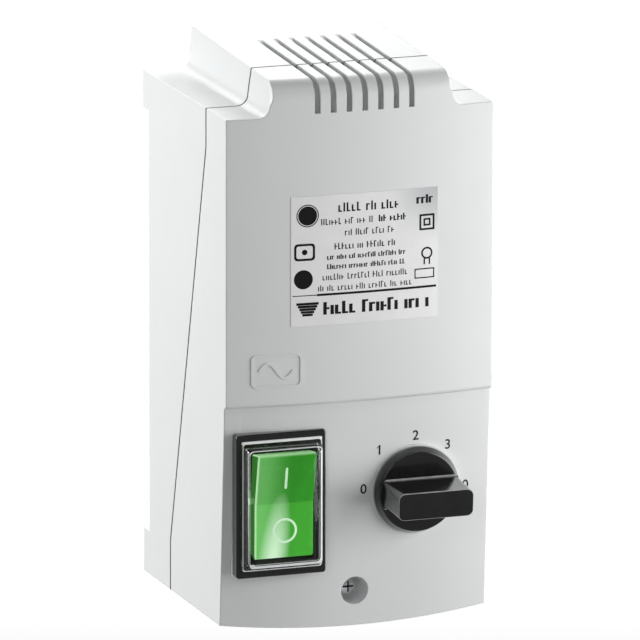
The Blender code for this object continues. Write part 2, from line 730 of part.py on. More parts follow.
def build_terminal_block(finishes):
    low = (-BLOCK_HALF_WIDTH, BLOCK_Y[0], BLOCK_Z[0])
    high = (BLOCK_HALF_WIDTH, BLOCK_Y[1], BLOCK_Z[1])
    block = box("terminal_block", low, high, finishes["terminal_nylon"])
    wells = [(pole_x(i), (BLOCK_Z[0] + BLOCK_Z[1]) / 2) for i in range(BLOCK_POLES)]
    boolean(block, holes("terminal_wells", wells, 0.0027, 12, -0.03, BLOCK_Y[0] + 0.0075))
    bm = bmesh.new()
    for i in range(BLOCK_POLES - 1):
        x = (pole_x(i) + pole_x(i + 1)) / 2
        gap_high = (x + 0.001, BLOCK_Y[0] + 0.005, BLOCK_Z[1] + OVER)
        add_box(bm, (x - 0.001, BLOCK_Y[0] - OVER, BLOCK_Z[0] - OVER), gap_high)
    boolean(block, object_from(bm, "terminal_gaps"))
    top = BLOCK_Y[0] + 0.0035
    foot = top + 0.0037
    profile = [(0.0, top), (0.0021, top), (0.0023, top + 0.0003), (0.0023, foot), (0.0, foot)]
    for i, (x, z) in enumerate(wells, start=1):
        screw = turned(f"terminal_screw_{i}", profile, 12, finishes["zinc"], centre=(x, 0.0, z))
        slot_high = (x + 0.003, top + 0.001, z + 0.0003)
        boolean(screw, box(f"terminal_slot_{i}", (x - 0.003, top - OVER, z - 0.0003), slot_high))


# ---- Mains switch ------------------------------------------------------------------------------
def build_bezel(finish):
    outline = rounded_rectangle(BEZEL_SIZE[0] / 2, BEZEL_SIZE[1] / 2, 0.001, 2, (SWITCH_X, BEZEL_Z))
    bezel = prism("switch_bezel", outline, 1, BEZEL_FRONT_Y, BEZEL_BACK_Y, finish)
    half_x = SWITCH_BODY_SIZE[0] / 2 + GAP
    half_z = SWITCH_BODY_SIZE[1] / 2 + GAP
    opening_low = (SWITCH_X - half_x, BEZEL_FRONT_Y - OVER, PIVOT_Z - half_z)
    opening_high = (SWITCH_X + half_x, BEZEL_BACK_Y + OVER, PIVOT_Z + half_z)
    boolean(bezel, box("bezel_opening", opening_low, opening_high))
    return bezel


def build_switch_body(finish):
    half_x, half_z = SWITCH_BODY_SIZE[0] / 2, SWITCH_BODY_SIZE[1] / 2
    front, back = SWITCH_BODY_Y
    low = (SWITCH_X - half_x, front, PIVOT_Z - half_z)
    high = (SWITCH_X + half_x, back, PIVOT_Z + half_z)
    body = box("switch_body", low, high, finish)
    wall = Vector((SWITCH_WALL, 0.0, SWITCH_WALL))
    hollow_low = Vector(low) + wall + Vector((0.0, -OVER, 0.0))
    hollow_high = Vector(high) - wall - Vector((0.0, 0.002, 0.0))
    boolean(body, box("switch_hollow", hollow_low, hollow_high))
    reach = half_x + 4 * OVER
    axle = [(PIVOT_Y, PIVOT_Z)]
    boolean(body, holes("trunnion_holes", axle, 0.0015, 12, SWITCH_X - reach, SWITCH_X + reach, axis=0))
    bm = bmesh.new()
    slot_x, slot_z = BLADE_HALF[0] + GAP, BLADE_HALF[1] + GAP
    for centre in BLADE_Z.values():
        slot_low = (SWITCH_X - slot_x, back - 0.005, centre - slot_z)
        add_box(bm, slot_low, (SWITCH_X + slot_x, back + OVER, centre + slot_z))
    boolean(body, object_from(bm, "blade_slots"))
    return body


def build_blades(finish):
    for label, centre in BLADE_Z.items():
        low = (SWITCH_X - BLADE_HALF[0], BLADE_FRONT[label], centre - BLADE_HALF[1])
        high = (SWITCH_X + BLADE_HALF[0], BLADE_BACK_Y, centre + BLADE_HALF[1])
        box(f"switch_blade_{label}", low, high, finish)


def build_splash_hood(finish):
    """The clear cap over the rocker: a flange, walls that lean in, and a flat window."""
    base_x, base_z = HOOD_BASE_SIZE[0] / 2, HOOD_BASE_SIZE[1] / 2
    window_x, window_z = HOOD_WINDOW_SIZE[0] / 2, HOOD_WINDOW_SIZE[1] / 2
    wall = 0.0008
    back, flange = BEZEL_FRONT_Y - GAP, BEZEL_FRONT_Y - 0.0013
    shoulder_x, shoulder_z = base_x - 0.0007, base_z - 0.0012
    rings_at = (
        (base_x, base_z, back, 0.001),
        (base_x, base_z, flange, 0.001),
        (shoulder_x, shoulder_z, flange, 0.001),
        (window_x, window_z, HOOD_PLATE_Y, 0.0018),
    )
    hollow_at = (
        (shoulder_x - wall, shoulder_z - wall, back + OVER, 0.0008),
        (shoulder_x - wall, shoulder_z - wall, flange, 0.0008),
        (window_x - wall, window_z - wall, HOOD_PLATE_Y + wall, 0.0012),
    )
    hood = lofted("switch_hood", rings_at, finish)
    boolean(hood, lofted("hood_hollow", hollow_at))
    return hood


def lofted(name, rings_at, finish=None):
    bm = bmesh.new()
    rings = []
    for half_x, half_z, y, radius in rings_at:
        outline = rounded_rectangle(half_x, half_z, radius, 2, centre=(SWITCH_X, BEZEL_Z))
        rings.append([bm.verts.new((x, y, z)) for x, z in outline])
    join_rings(bm, rings)
    return object_from(bm, name, finish)


def build_rocker(finish, pivot):
    """A hollow rocker with a shallow V front, side cheeks and two trunnions, in the pivot's own axes."""
    half_x, half_z = ROCKER_HALF
    outside = [(-0.009, half_z), (-0.0071, 0.0), (-0.009, -half_z), (-0.002, -0.0205), (-0.002, -0.005)]
    outside += [(0.0026, -0.003), (0.0026, 0.003), (-0.002, 0.005), (-0.002, 0.0205)]
    rocker = prism("rocker", outside, 0, -half_x, half_x, finish, pivot)
    inside = [(-0.0076, 0.0204), (-0.0058, 0.0), (-0.0076, -0.0204), (0.006, -0.0192), (0.006, 0.0192)]
    inner = half_x - 0.0013
    boolean(rocker, prism("rocker_hollow", inside, 0, -inner, inner, parent=pivot))
    for sign, label in ((-1, "left"), (1, "right")):
        near, far = sorted((sign * (half_x - 0.0006), sign * (half_x + 0.0013)))
        pin = prism(f"trunnion_{label}", circle(0.0012, 12), 0, near, far, parent=pivot)
        boolean(rocker, pin, "UNION")
    boss = prism("plunger_boss", circle(0.0024, 12), 1, -0.0065, -0.0022, parent=pivot)
    boolean(rocker, boss, "UNION")
    return rocker


def build_contact_gear(finishes, pivot, fulcrum):
    stem, collar = 0.0013, 0.0024
    profile = [(0.0, -0.0019), (stem, -0.0019), (stem, 0.008), (collar, 0.008), (collar, 0.0094)]
    profile += [(stem, 0.0102), (stem, 0.0118), (0.0007, 0.0127), (0.0, 0.013)]
    turned("rocker_plunger", profile, 12, finishes["terminal_nylon"], pivot)
    turns, per_turn = 4, 6
    radius, start, length = 0.0021, -0.0014, 0.0088
    coil = []
    for i in range(turns * per_turn + 1):
        angle = math.tau * i / per_turn
        y = start + length * i / (turns * per_turn)
        coil.append((radius * math.cos(angle), y, radius * math.sin(angle)))
    tube("plunger_spring", coil, 0.0003, finishes["zinc"], pivot, resolution=1, steps=1)
    lever = [(-0.0006, 0.0), (-0.0021, 0.012), (-0.0013, 0.0121), (0.0002, 0.0)]
    lever += [(-0.0013, -0.0131), (-0.0021, -0.013)]
    prism("contact_lever", lever, 0, -0.0026, 0.0026, finishes["brass"], fulcrum)


def build_lamp(finish):
    """The neon capsule under the rocker, on two wire legs that reach the switch's floor."""
    capsule = circle(0.0019, 12, (PIVOT_Y - 0.0026, LAMP_Z))
    lamp = prism("neon_lamp", capsule, 0, SWITCH_X - 0.005, SWITCH_X + 0.005, finish)
    foot = SWITCH_BODY_Y[1] - 0.0025
    for sign, label in ((-1, "left"), (1, "right")):
        outline = circle(0.0004, 6, (SWITCH_X + sign * 0.0041, LAMP_Z))
        boolean(lamp, prism(f"lamp_leg_{label}", outline, 1, PIVOT_Y - 0.0015, foot), "UNION")
    return lamp


def build_switch(finishes):
    pivot = empty("rocker_pivot", (SWITCH_X, PIVOT_Y, PIVOT_Z), ROCKER_REST)
    fulcrum = empty("lever_fulcrum", (SWITCH_X, LEVER_Y, PIVOT_Z), -LEVER_REST)
    build_bezel(finishes["black_plastic"])
    build_switch_body(finishes["black_plastic"])
    build_blades(finishes["brass"])
    build_splash_hood(finishes["clear_plastic"])
    build_rocker(finishes["green_plastic"], pivot)
    build_contact_gear(finishes, pivot, fulcrum)
    build_lamp(finishes["lamp_glass"])


# ---- Rotary switch and knob --------------------------------------------------------------------
def build_knob(finish, frame):
    """A skirted disc with a full-width grip bar, hollow behind over the fixing nut."""
    profile = [
        (0.0, -KNOB_FACE),
        (KNOB_FACE_RADIUS - 0.0006, -KNOB_FACE),
        (KNOB_FACE_RADIUS, -KNOB_FACE + 0.0006),
        (KNOB_RADIUS, -KNOB_BACK - 0.0008),
        (KNOB_RADIUS, -KNOB_BACK),
        (0.0, -KNOB_BACK),
    ]
    knob = turned("knob", profile, 36, finish, frame)
    bm = bmesh.new()
    rings = []
    grip_at = (
        (GRIP_HALF_LENGTH, GRIP_ROOT_HALF_WIDTH, -KNOB_FACE + 0.001, 0.001),
        (GRIP_HALF_LENGTH, GRIP_HALF_WIDTH + 0.0002, -GRIP_FRONT + 0.0009, 0.0018),
        (GRIP_HALF_LENGTH - 0.0008, GRIP_HALF_WIDTH - 0.0006, -GRIP_FRONT, 0.0016),
    )
    for half_x, half_z, y, radius in grip_at:
        outline = rounded_rectangle(half_x, half_z, radius, 3)
        rings.append([bm.verts.new((x, y, z)) for x, z in outline])
    join_rings(bm, rings)
    boolean(knob, object_from(bm, "grip_bar", parent=frame), "UNION")
    boolean(knob, disc("knob_hollow", 0.0098, -0.0043, 0.0, 24, frame))
    boolean(knob, disc("knob_bore", SHAFT_RADIUS + GAP, -0.0145, 0.0, 20, frame))
    return knob


def build_rotary(finishes, frame):
    """The five-position rotary switch, along the panel's own normal."""
    front, back, wall = ROTARY_FRONT, ROTARY_DEPTH, 0.0015
    bore = SHAFT_RADIUS + GAP
    housing = [
        (bore, -0.0041),
        (BUSH_RADIUS, -0.0041),
        (BUSH_RADIUS, front),
        (ROTARY_RADIUS, front),
        (ROTARY_RADIUS, back),
        (ROTARY_RADIUS - wall, back),
        (ROTARY_RADIUS - wall, front + 0.002),
        (bore, front + 0.002),
    ]
    turned("rotary_housing", housing, 24, finishes["black_plastic"], frame)
    build_wafer(finishes["phenolic"], frame)
    build_fixing_nut(finishes["zinc"], frame)
    shaft = prism("rotary_shaft", circle(SHAFT_RADIUS, 20), 1, -0.0139, back + 0.004, finishes["zinc"], frame)
    boolean(shaft, box("shaft_flat", (-0.004, -0.02, 0.0017), (0.004, -0.0048, 0.004), parent=frame))
    build_detent(finishes, frame)
    contact_front, contact_back = 0.0122, 0.0172
    outline = [(bore, contact_front), (0.0062, contact_front), (0.0062, contact_back), (bore, contact_back)]
    contact = turned("rotor_contact", outline, 16, finishes["brass"], frame)
    arm = box("rotor_arm", (-0.0138, 0.0142, -0.0016), (-0.005, 0.0164, 0.0016), parent=frame)
    boolean(contact, arm, "UNION")


def build_wafer(finish, frame):
    """The insulating disc that closes the rotary switch, with a slot for each tag."""
    near, far = ROTARY_DEPTH + GAP, ROTARY_DEPTH + WAFER_THICK
    outline = [(0.0036, near), (ROTARY_RADIUS, near), (ROTARY_RADIUS, far), (0.0036, far)]
    wafer = turned("rotary_wafer", outline, 24, finish, frame)
    slot_x, slot_z = TAG_HALF[0] + GAP, TAG_HALF[1] + GAP
    bm = bmesh.new()
    for angle in (*TAG_ANGLES, COMMON_ANGLE):
        x, z = tag_place(angle)
        high = (x + slot_x, far + 2 * OVER, z + slot_z)
        add_box(bm, (x - slot_x, ROTARY_DEPTH - OVER, z - slot_z), high)
    boolean(wafer, object_from(bm, "tag_slots", parent=frame))


def build_fixing_nut(finish, frame):
    """The washer and hexagon nut that clamp the rotary switch to the panel."""
    bore = BUSH_RADIUS + GAP
    seat = -KNOB_SEAT - GAP
    washer_front = seat - 0.0005
    outline = [(bore, washer_front), (0.0078, washer_front), (0.0078, seat), (bore, seat)]
    turned("rotary_washer", outline, 24, finish, frame)
    nut_back = washer_front - GAP
    nut = prism("rotary_nut", circle(0.0079, 6), 1, nut_back - 0.0018, nut_back, finish, frame)
    boolean(nut, disc("nut_bore", bore, nut_back - 0.004, nut_back + OVER, 24, frame))


def build_detent(finishes, frame):
    """A star wheel with eight lobes, one each 45 degrees, and a leaf beside it."""
    lobes, tip, dip = 8, 0.0102, 0.0086
    star = []
    for i in range(2 * lobes):
        reach = dip if i % 2 else tip
        turn = math.pi * i / lobes
        star.append((reach * math.cos(turn), reach * math.sin(turn)))
    wheel = prism("detent_wheel", star, 1, 0.0068, 0.0098, finishes["terminal_nylon"], frame)
    boolean(wheel, prism("detent_bore", circle(SHAFT_RADIUS + GAP, 16), 1, 0.005, 0.012, parent=frame))
    arcs = []
    for reach in (0.0106, 0.0111):
        turns = [math.radians(angle) for angle in range(-60, 61, 20)]
        arcs.append([(reach * math.cos(turn), reach * math.sin(turn)) for turn in turns])
    prism("detent_spring", arcs[0] + arcs[1][::-1], 1, 0.0072, 0.0094, finishes["zinc"], frame)


def tag_place(angle):
    """A tag's middle across the wafer, in the knob frame."""
    turn = math.radians(angle)
    return TAG_RADIUS * math.cos(turn), TAG_RADIUS * math.sin(turn)


def build_tags(finish, frame):
    labels = [f"tap_tag_{i}" for i in range(1, len(TAG_ANGLES) + 1)] + ["common_tag"]
    half_x, half_z = TAG_HALF
    near, far = (ROTARY_DEPTH + reach for reach in TAG_REACH)
    for label, angle in zip(labels, (*TAG_ANGLES, COMMON_ANGLE)):
        x, z = tag_place(angle)
        box(label, (x - half_x, near, z - half_z), (x + half_x, far, z + half_z), finish, frame)


def in_panel_frame(frame, point):
    bpy.context.view_layer.update()
    return frame.matrix_world @ Vector(point)


# ---- Internal leads ----------------------------------------------------------------------------
def tag_end(frame, angle, straight):
    """The last two points of a lead at a tag: some way straight behind it, then its tip."""
    x, z = tag_place(angle)
    tip = ROTARY_DEPTH + TAG_REACH[1] + GAP
    return [in_panel_frame(frame, (x, tip + straight, z)), in_panel_frame(frame, (x, tip, z))]


def blade_end(label):
    """The last two points of a lead at a switch blade."""
    z = BLADE_Z[label]
    tip = BLADE_BACK_Y + GAP
    return [(SWITCH_X, tip + 0.005, z), (SWITCH_X, tip, z)]


def terminal_end(pole, straight_to):
    """The first two points of a lead at a terminal pole."""
    top = BLOCK_Z[1] + GAP
    return [(pole_x(pole), -0.011, top), (pole_x(pole), -0.012, straight_to)]


def build_leads(finishes, frame):
    """Each lead leaves its terminal straight, then bends on one smooth line to the next."""
    front = CORE_Y - COIL_HALF[1] - TAPE_THICK - 2 * GAP - LEAD_RADIUS
    lower = CORE_Z - TAPE_HALF_HEIGHT
    starts = (-0.004, 0.005, 0.014, 0.0205, 0.027)
    colours = ("lead_white", "lead_yellow", "lead_orange", "lead_red", "lead_brown")
    for i, (start_x, angle, colour) in enumerate(zip(starts, TAG_ANGLES, colours), start=1):
        behind, tip = tag_end(frame, angle, 0.0037)
        tag_x, tag_z = tag_place(angle)
        loop = in_panel_frame(frame, (tag_x, ROTARY_DEPTH + 0.0165, tag_z + 0.004))
        halfway = ((start_x + 2 * tip.x) / 3, -0.0655, -0.010)
        route = [(start_x, front, lower + 0.010), (start_x, front, lower - 0.004), (start_x, front, 0.014)]
        tube(f"tap_lead_{i}", route + [halfway, loop, behind, tip], LEAD_RADIUS, finishes[colour])

    supply = terminal_end(0, -0.058) + [(-0.026, -0.026, -0.048), (SWITCH_X, -0.045, PIVOT_Z + 0.001)]
    tube("supply_lead", supply + blade_end("common"), LEAD_RADIUS, finishes["lead_brown"])
    live = blade_end("load")[::-1] + [(-0.040, -0.047, BLADE_Z["load"] + 0.006), (-0.043, -0.052, -0.040)]
    live += [(-0.036, -0.062, -0.012), (-0.024, front, 0.010)]
    live += [(-0.024, front, lower - 0.002), (-0.024, front, lower + 0.010)]
    tube("live_lead", live, LEAD_RADIUS, finishes["lead_black"])
    neutral = terminal_end(1, -0.055) + [(-0.008, -0.028, -0.036)]
    neutral += [(-0.022, -0.046, BLADE_Z["neutral"] + 0.001)]
    tube("neutral_lead", neutral + blade_end("neutral"), LEAD_RADIUS, finishes["lead_blue"])
    output = terminal_end(3, -0.059) + [(0.019, -0.026, -0.052), (0.0225, -0.046, -0.057)]
    tube("output_lead", output + tag_end(frame, COMMON_ANGLE, 0.0047), LEAD_RADIUS, finishes["lead_grey"])


def make_finishes():
    table = {
        "housing_plastic": ((0.66, 0.68, 0.675), 0.42, 0.0),
        "gasket_rubber": ((0.05, 0.05, 0.05), 0.8, 0.0),
        "label_film": ((0.74, 0.75, 0.76), 0.35, 0.0),
        "black_plastic": ((0.012, 0.012, 0.013), 0.3, 0.0),
        "green_plastic": ((0.06, 0.36, 0.04), 0.2, 0.0),
        "terminal_nylon": ((0.72, 0.72, 0.68), 0.5, 0.0),
        "former_nylon": ((0.55, 0.55, 0.5), 0.55, 0.0),
        "phenolic": ((0.2, 0.09, 0.03), 0.5, 0.0),
        "zinc": ((0.62, 0.63, 0.64), 0.3, 1.0),
        "brass": ((0.7, 0.5, 0.22), 0.3, 1.0),
        "copper": ((0.5, 0.17, 0.07), 0.35, 1.0),
        "steel_laminations": ((0.2, 0.2, 0.21), 0.55, 1.0),
        "tape": ((0.75, 0.55, 0.08), 0.4, 0.0),
        "lamp_glass": ((0.9, 0.55, 0.3), 0.1, 0.0),
        "lead_white": ((0.8, 0.8, 0.78), 0.45, 0.0),
        "lead_yellow": ((0.8, 0.6, 0.05), 0.45, 0.0),
        "lead_orange": ((0.75, 0.25, 0.03), 0.45, 0.0),
        "lead_red": ((0.55, 0.03, 0.02), 0.45, 0.0),
        "lead_brown": ((0.16, 0.06, 0.02), 0.45, 0.0),
        "lead_black": ((0.01, 0.01, 0.01), 0.45, 0.0),
        "lead_blue": ((0.02, 0.09, 0.45), 0.45, 0.0),
        "lead_grey": ((0.3, 0.3, 0.3), 0.45, 0.0),
    }
    made = {name: material(name, *values) for name, values in table.items()}
    made["clear_plastic"] = material("clear_plastic", (0.9, 0.95, 0.92), 0.05, alpha=0.25)
    return made


def main():
    clear_scene()
    finishes = make_finishes()
    knob_frame = empty("knob_frame", (KNOB_X, panel_y(KNOB_X, KNOB_Z), KNOB_Z), PANEL_TILT)
    grooves = groove_cutter()
    build_base(finishes["housing_plastic"], grooves)
    build_cover(finishes["housing_plastic"], grooves, knob_frame)
    gasket_ring("seam_gasket", 0.001, 0.002, SEAM_GAP, SEAM_GAP + 0.0016, finishes["gasket_rubber"])
    build_label(finishes["label_film"])
    pan_head_screw("cover_screw", finishes["zinc"], COVER_SCREW_X, COVER_SCREW_Z, COUNTERBORE_FLOOR_Y, 0.044)
    grommet("cable_grommet_left", finishes["gasket_rubber"], -GROMMET_X)
    grommet("cable_grommet_right", finishes["gasket_rubber"], GROMMET_X)
    build_transformer(finishes)
    build_terminal_block(finishes)
    build_switch(finishes)
    build_rotary(finishes, knob_frame)
    build_knob(finishes["black_plastic"], knob_frame)
    build_tags(finishes["brass"], knob_frame)
    build_leads(finishes, knob_frame)


main()
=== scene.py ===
import json
import random
from math import cos, hypot, pi, radians, sin, tan, tau

import bmesh
import bpy
from mathutils import Matrix, Vector


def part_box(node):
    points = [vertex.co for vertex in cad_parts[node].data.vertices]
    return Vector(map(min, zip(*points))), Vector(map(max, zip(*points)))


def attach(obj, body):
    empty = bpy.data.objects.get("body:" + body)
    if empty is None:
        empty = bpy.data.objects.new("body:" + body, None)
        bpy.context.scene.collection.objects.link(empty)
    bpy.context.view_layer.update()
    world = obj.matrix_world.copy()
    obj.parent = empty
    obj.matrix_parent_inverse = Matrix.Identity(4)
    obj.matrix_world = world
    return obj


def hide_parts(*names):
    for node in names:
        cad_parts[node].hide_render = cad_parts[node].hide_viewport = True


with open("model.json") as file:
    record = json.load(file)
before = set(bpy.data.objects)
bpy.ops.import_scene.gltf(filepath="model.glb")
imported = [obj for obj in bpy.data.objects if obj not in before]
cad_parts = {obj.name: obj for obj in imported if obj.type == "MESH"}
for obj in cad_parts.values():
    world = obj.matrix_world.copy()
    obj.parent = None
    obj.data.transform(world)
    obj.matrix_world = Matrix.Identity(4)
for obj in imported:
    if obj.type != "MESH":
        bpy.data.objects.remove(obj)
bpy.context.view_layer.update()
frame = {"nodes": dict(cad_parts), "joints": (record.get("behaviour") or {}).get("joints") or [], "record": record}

# ---- Driving dimensions, in metres, from the frame where it has them
COVER_LOW, COVER_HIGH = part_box("front_cover")
BASE_LOW, BASE_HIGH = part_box("rear_base")
BEZEL_LOW, BEZEL_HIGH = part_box("switch_bezel")
HOOD_LOW, HOOD_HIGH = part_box("switch_hood")
LABEL_LOW, LABEL_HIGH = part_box("rating_label")
SCREW_LOW, SCREW_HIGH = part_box("cover_screw")
JOINTS = {joint["name"]: joint for joint in frame["joints"]}

HALF_WIDTH = COVER_HIGH.x
CORNER_DEPTH = 0.101
BOW = -COVER_LOW.y - CORNER_DEPTH
BOTTOM_DROP = 0.0033
BOTTOM_Z = COVER_LOW.z + BOTTOM_DROP
SHOULDER_Z = 0.1015
WALL = 0.003
EDGE = 0.0004  # rounding of the moulding's outside edges
SHARP_ANGLE = 33.0  # in degrees: faces that meet at more keep a hard edge in the shading
BEVEL_OVER = radians(50)  # only edges sharper than this are rounded
SHOULDER_COLUMNS = (0.0528, 0.0505, 0.0482, 0.0463)  # mesh lines across each shoulder
SHOULDER_ROW = 0.0008

STEP_Z = -0.0135
STEP_ROUND = 0.0016
PANEL_DEPTH = 0.099
PANEL_TILT = radians(3.6)

HOOD_HALF_TOP = 0.0364
HOOD_FOOT_X = 0.0423
HOOD_FOOT_ROUND = 0.0045
HOOD_FRONT = (-0.0988, 0.1154)
HOOD_BACK = (-0.0056, BASE_HIGH.z)
HOOD_ROUND = 0.0075
HOOD_CREASE = radians(2.2)  # where the round runs into the sloping top

SEAM_TOP = (-0.0775, 0.086)
SEAM_FOOT = (-0.0335, -0.082)
SEAM_GAP = 0.00035
SEAM_LIP = 0.0013  # width of the gasket's lip, seen as a dark line round the box
SEAM_LIP_DEPTH = 0.0008
FAR = 0.13  # beyond the box in every direction
OVER = 0.001
MERGE = 4e-6
PHASE = 0.42  # turns circles a little, so that their corners miss the mesh lines they cross

ARC_STEPS = 12

GROOVES = 7
GROOVE_PITCH = 0.00646
GROOVE_WIDTH = 0.002
GROOVE_DEPTH = 0.0020
GROOVE_MIDDLE_X = 0.0007
GROOVE_FOOT_Z = 0.1023
GROOVE_BACK_Y = -0.035
GROOVE_RUN_OUT = 0.007

BACK_Y = -0.0105
PLATEAU_HALF = 0.038
REBATE_DEPTH = 0.0075
REBATE_Z = (-0.0845, 0.0865)
CORE_POSTS = [(sx * 0.040, 0.042 + sz * 0.032) for sx in (-1, 1) for sz in (-1, 1)]
WALL_SCREWS = [(sx * 0.044, sz * 0.094) for sx in (-1, 1) for sz in (-1, 1)]

SCREW_X = (SCREW_LOW.x + SCREW_HIGH.x) / 2
SCREW_Z = (SCREW_LOW.z + SCREW_HIGH.z) / 2
SCREW_HEAD = (SCREW_HIGH.x - SCREW_LOW.x) / 2
SCREW_SEAT_Y = SCREW_LOW.y + 0.00253
COUNTERBORE_RADIUS = 0.0055
SLEEVE_BACK_Y = -0.0604

GROMMET_HOLE = 0.0064
GROMMET_SEAT_Z = -0.1038

KNOB_PIVOT = Vector(JOINTS["knob_turn"]["pos_m"])
KNOB_FRAME = Matrix.Translation(KNOB_PIVOT) @ Matrix.Rotation(PANEL_TILT, 4, "X")
KNOB_SEAT = 0.0009
KNOB_SEAT_RADIUS = 0.01825
ROCKER_PIVOT = Vector(JOINTS["rocker_tilt"]["pos_m"])
ROCKER_REST = radians(6)
ROCKER_FRAME = Matrix.Translation(ROCKER_PIVOT) @ Matrix.Rotation(ROCKER_REST, 4, "X")
SWITCH_X = ROCKER_PIVOT.x
BEZEL_Z = (BEZEL_LOW.z + BEZEL_HIGH.z) / 2

HOUSING = "housing"


# ---- Shape helpers
def bulge(x):
    return BOW * (1 - (x / HALF_WIDTH) ** 2)


def front_y(x):
    return -CORNER_DEPTH - bulge(x)


def panel_y(x, z):
    return -(PANEL_DEPTH - (STEP_Z - z) * tan(PANEL_TILT)) - bulge(x)


def hood_z(y):
    rise = (HOOD_BACK[1] - HOOD_FRONT[1]) / (HOOD_BACK[0] - HOOD_FRONT[0])
    return HOOD_FRONT[1] + (y - HOOD_FRONT[0]) * rise


helpers = []


def add_object(name, data):
    obj = bpy.data.objects.new(name, data)
    bpy.context.scene.collection.objects.link(obj)
    return obj


def shade(mesh, angle=SHARP_ANGLE):
    mesh.shade_smooth()
    mesh.set_sharp_from_angle(angle=radians(angle))


def new_object(bm, name, finish=None, smooth=SHARP_ANGLE):
    """A bmesh as an object. Without a finish it is a hidden cutter, removed at the end."""
    bmesh.ops.recalc_face_normals(bm, faces=bm.faces)
    mesh = bpy.data.meshes.new(name)
    bm.to_mesh(mesh)
    bm.free()
    obj = add_object(name, mesh)
    if finish is None:
        helpers.append(obj)
    else:
        mesh.materials.append(finish)
    shade(mesh, smooth)
    return obj


def join(bm, rings, closed=False):
    """Faces between rows of vertices. Unless it is closed, the first and last rows are capped."""
    count = len(rings[0])
    pairs = list(zip(rings, rings[1:]))
    if closed:
        pairs.append((rings[-1], rings[0]))
    for first, second in pairs:
        for i in range(count):
            j = (i + 1) % count
            bm.faces.new((first[i], first[j], second[j], second[i]))
    if not closed:
        bm.faces.new(rings[0])
        bm.faces.new(rings[-1])


def skin(bm, outlines, closed=False):
    """The same from rows of points."""
    join(bm, [[bm.verts.new(point) for point in outline] for outline in outlines], closed)


def loft(name, outlines, finish=None, closed=False, place=None):
    bm = bmesh.new()
    skin(bm, outlines, closed)
    if place is not None:
        bm.transform(place)
    return new_object(bm, name, finish)


def along(axis, outline, offset):
    """A flat outline in the other two axes' order, at one offset along an axis."""
    others = [i for i in range(3) if i != axis]
    row = []
    for a, b in outline:
        point = [0.0, 0.0, 0.0]
        point[axis], point[others[0]], point[others[1]] = offset, a, b
        row.append(Vector(point))
    return row


def prism(name, outline, axis, start, end, finish=None, place=None):
    return loft(name, [along(axis, outline, start), along(axis, outline, end)], finish, place=place)


def box(name, low, high, finish=None, place=None):
    outline = [(low[0], low[2]), (high[0], low[2]), (high[0], high[2]), (low[0], high[2])]
    return prism(name, outline, 1, low[1], high[1], finish, place)


def circle(radius, count, centre=(0.0, 0.0)):
    turns = [tau * (i + PHASE) / count for i in range(count)]
    return [(centre[0] + radius * cos(t), centre[1] + radius * sin(t)) for t in turns]


def rounded(half_a, half_b, radius, steps=5, centre=(0.0, 0.0)):
    points = []
    for quarter, (sa, sb) in enumerate(((1, 1), (-1, 1), (-1, -1), (1, -1))):
        for i in range(steps + 1):
            turn = pi / 2 * (quarter + i / steps)
            a = centre[0] + sa * (half_a - radius) + radius * cos(turn)
            b = centre[1] + sb * (half_b - radius) + radius * sin(turn)
            points.append((a, b))
    return points


def arc(centre, radius, start, end, steps):
    """Points on a circle in a plane, with its angles in degrees."""
    turns = [radians(start + (end - start) * i / steps) for i in range(steps + 1)]
    return [(centre[0] + radius * cos(t), centre[1] + radius * sin(t)) for t in turns]


def turned(name, profile, count, finish=None, axis=1, centre=(0, 0, 0), place=None):
    """Revolves (radius, position) pairs round an axis. The profile is a loop, or ends on the axis."""
    bm = bmesh.new()
    rings = []
    for radius, position in profile:
        ring = along(axis, circle(radius, 1 if radius == 0 else count), position)
        rings.append([bm.verts.new(point + Vector(centre)) for point in ring])
    pairs = list(zip(rings, rings[1:]))
    if len(rings[0]) > 1:
        pairs.append((rings[-1], rings[0]))
    for first, second in pairs:
        for i in range(count):
            j = (i + 1) % count
            near = [first[i % len(first)], first[j % len(first)]]
            far = [second[j % len(second)], second[i % len(second)]]
            bm.faces.new(list(dict.fromkeys(near + far)))
    if place is not None:
        bm.transform(place)
    return new_object(bm, name, finish)


def drum(name, radius, start, end, count):
    """A plain round cutter on the knob's axis."""
    profile = [(0.0, start), (radius, start), (radius, end), (0.0, end)]
    return turned(name, profile, count, place=KNOB_FRAME)


def cut(obj, other, operation="DIFFERENCE", keep_finish=False):
    modifier = obj.modifiers.new(other.name, "BOOLEAN")
    modifier.operation = operation
    modifier.object = other
    modifier.solver = "EXACT"
    if keep_finish:
        modifier.material_mode = "TRANSFER"


def bake_modifiers(obj):
    """Replaces the mesh with its evaluated form, so that later steps work on it."""
    graph = bpy.context.evaluated_depsgraph_get()
    graph.update()
    made = bpy.data.meshes.new_from_object(obj.evaluated_get(graph))
    obj.modifiers.clear()
    old = obj.data
    obj.data = made
    bpy.data.meshes.remove(old)
    bm = bmesh.new()
    bm.from_mesh(made)
    bmesh.ops.remove_doubles(bm, verts=bm.verts, dist=MERGE)
    bmesh.ops.dissolve_degenerate(bm, edges=bm.edges, dist=MERGE)
    bmesh.ops.delete(bm, geom=[e for e in bm.edges if not e.link_faces], context="EDGES")
    bmesh.ops.delete(bm, geom=[v for v in bm.verts if not v.link_faces], context="VERTS")
    bm.to_mesh(made)
    bm.free()
    shade(made)


def bake_even(obj):
    """Bakes the cuts, then evens the shading so that flat faces stay flat."""
    bake_modifiers(obj)
    modifier = obj.modifiers.new("even_normals", "WEIGHTED_NORMAL")
    modifier.keep_sharp = True
    modifier.weight = 80
    return obj


def holes(name, places, radius, count, start, end, axis=1):
    bm = bmesh.new()
    for place in places:
        outline = circle(radius, count, place)
        skin(bm, [along(axis, outline, at) for at in (start, end)])
    return new_object(bm, name)


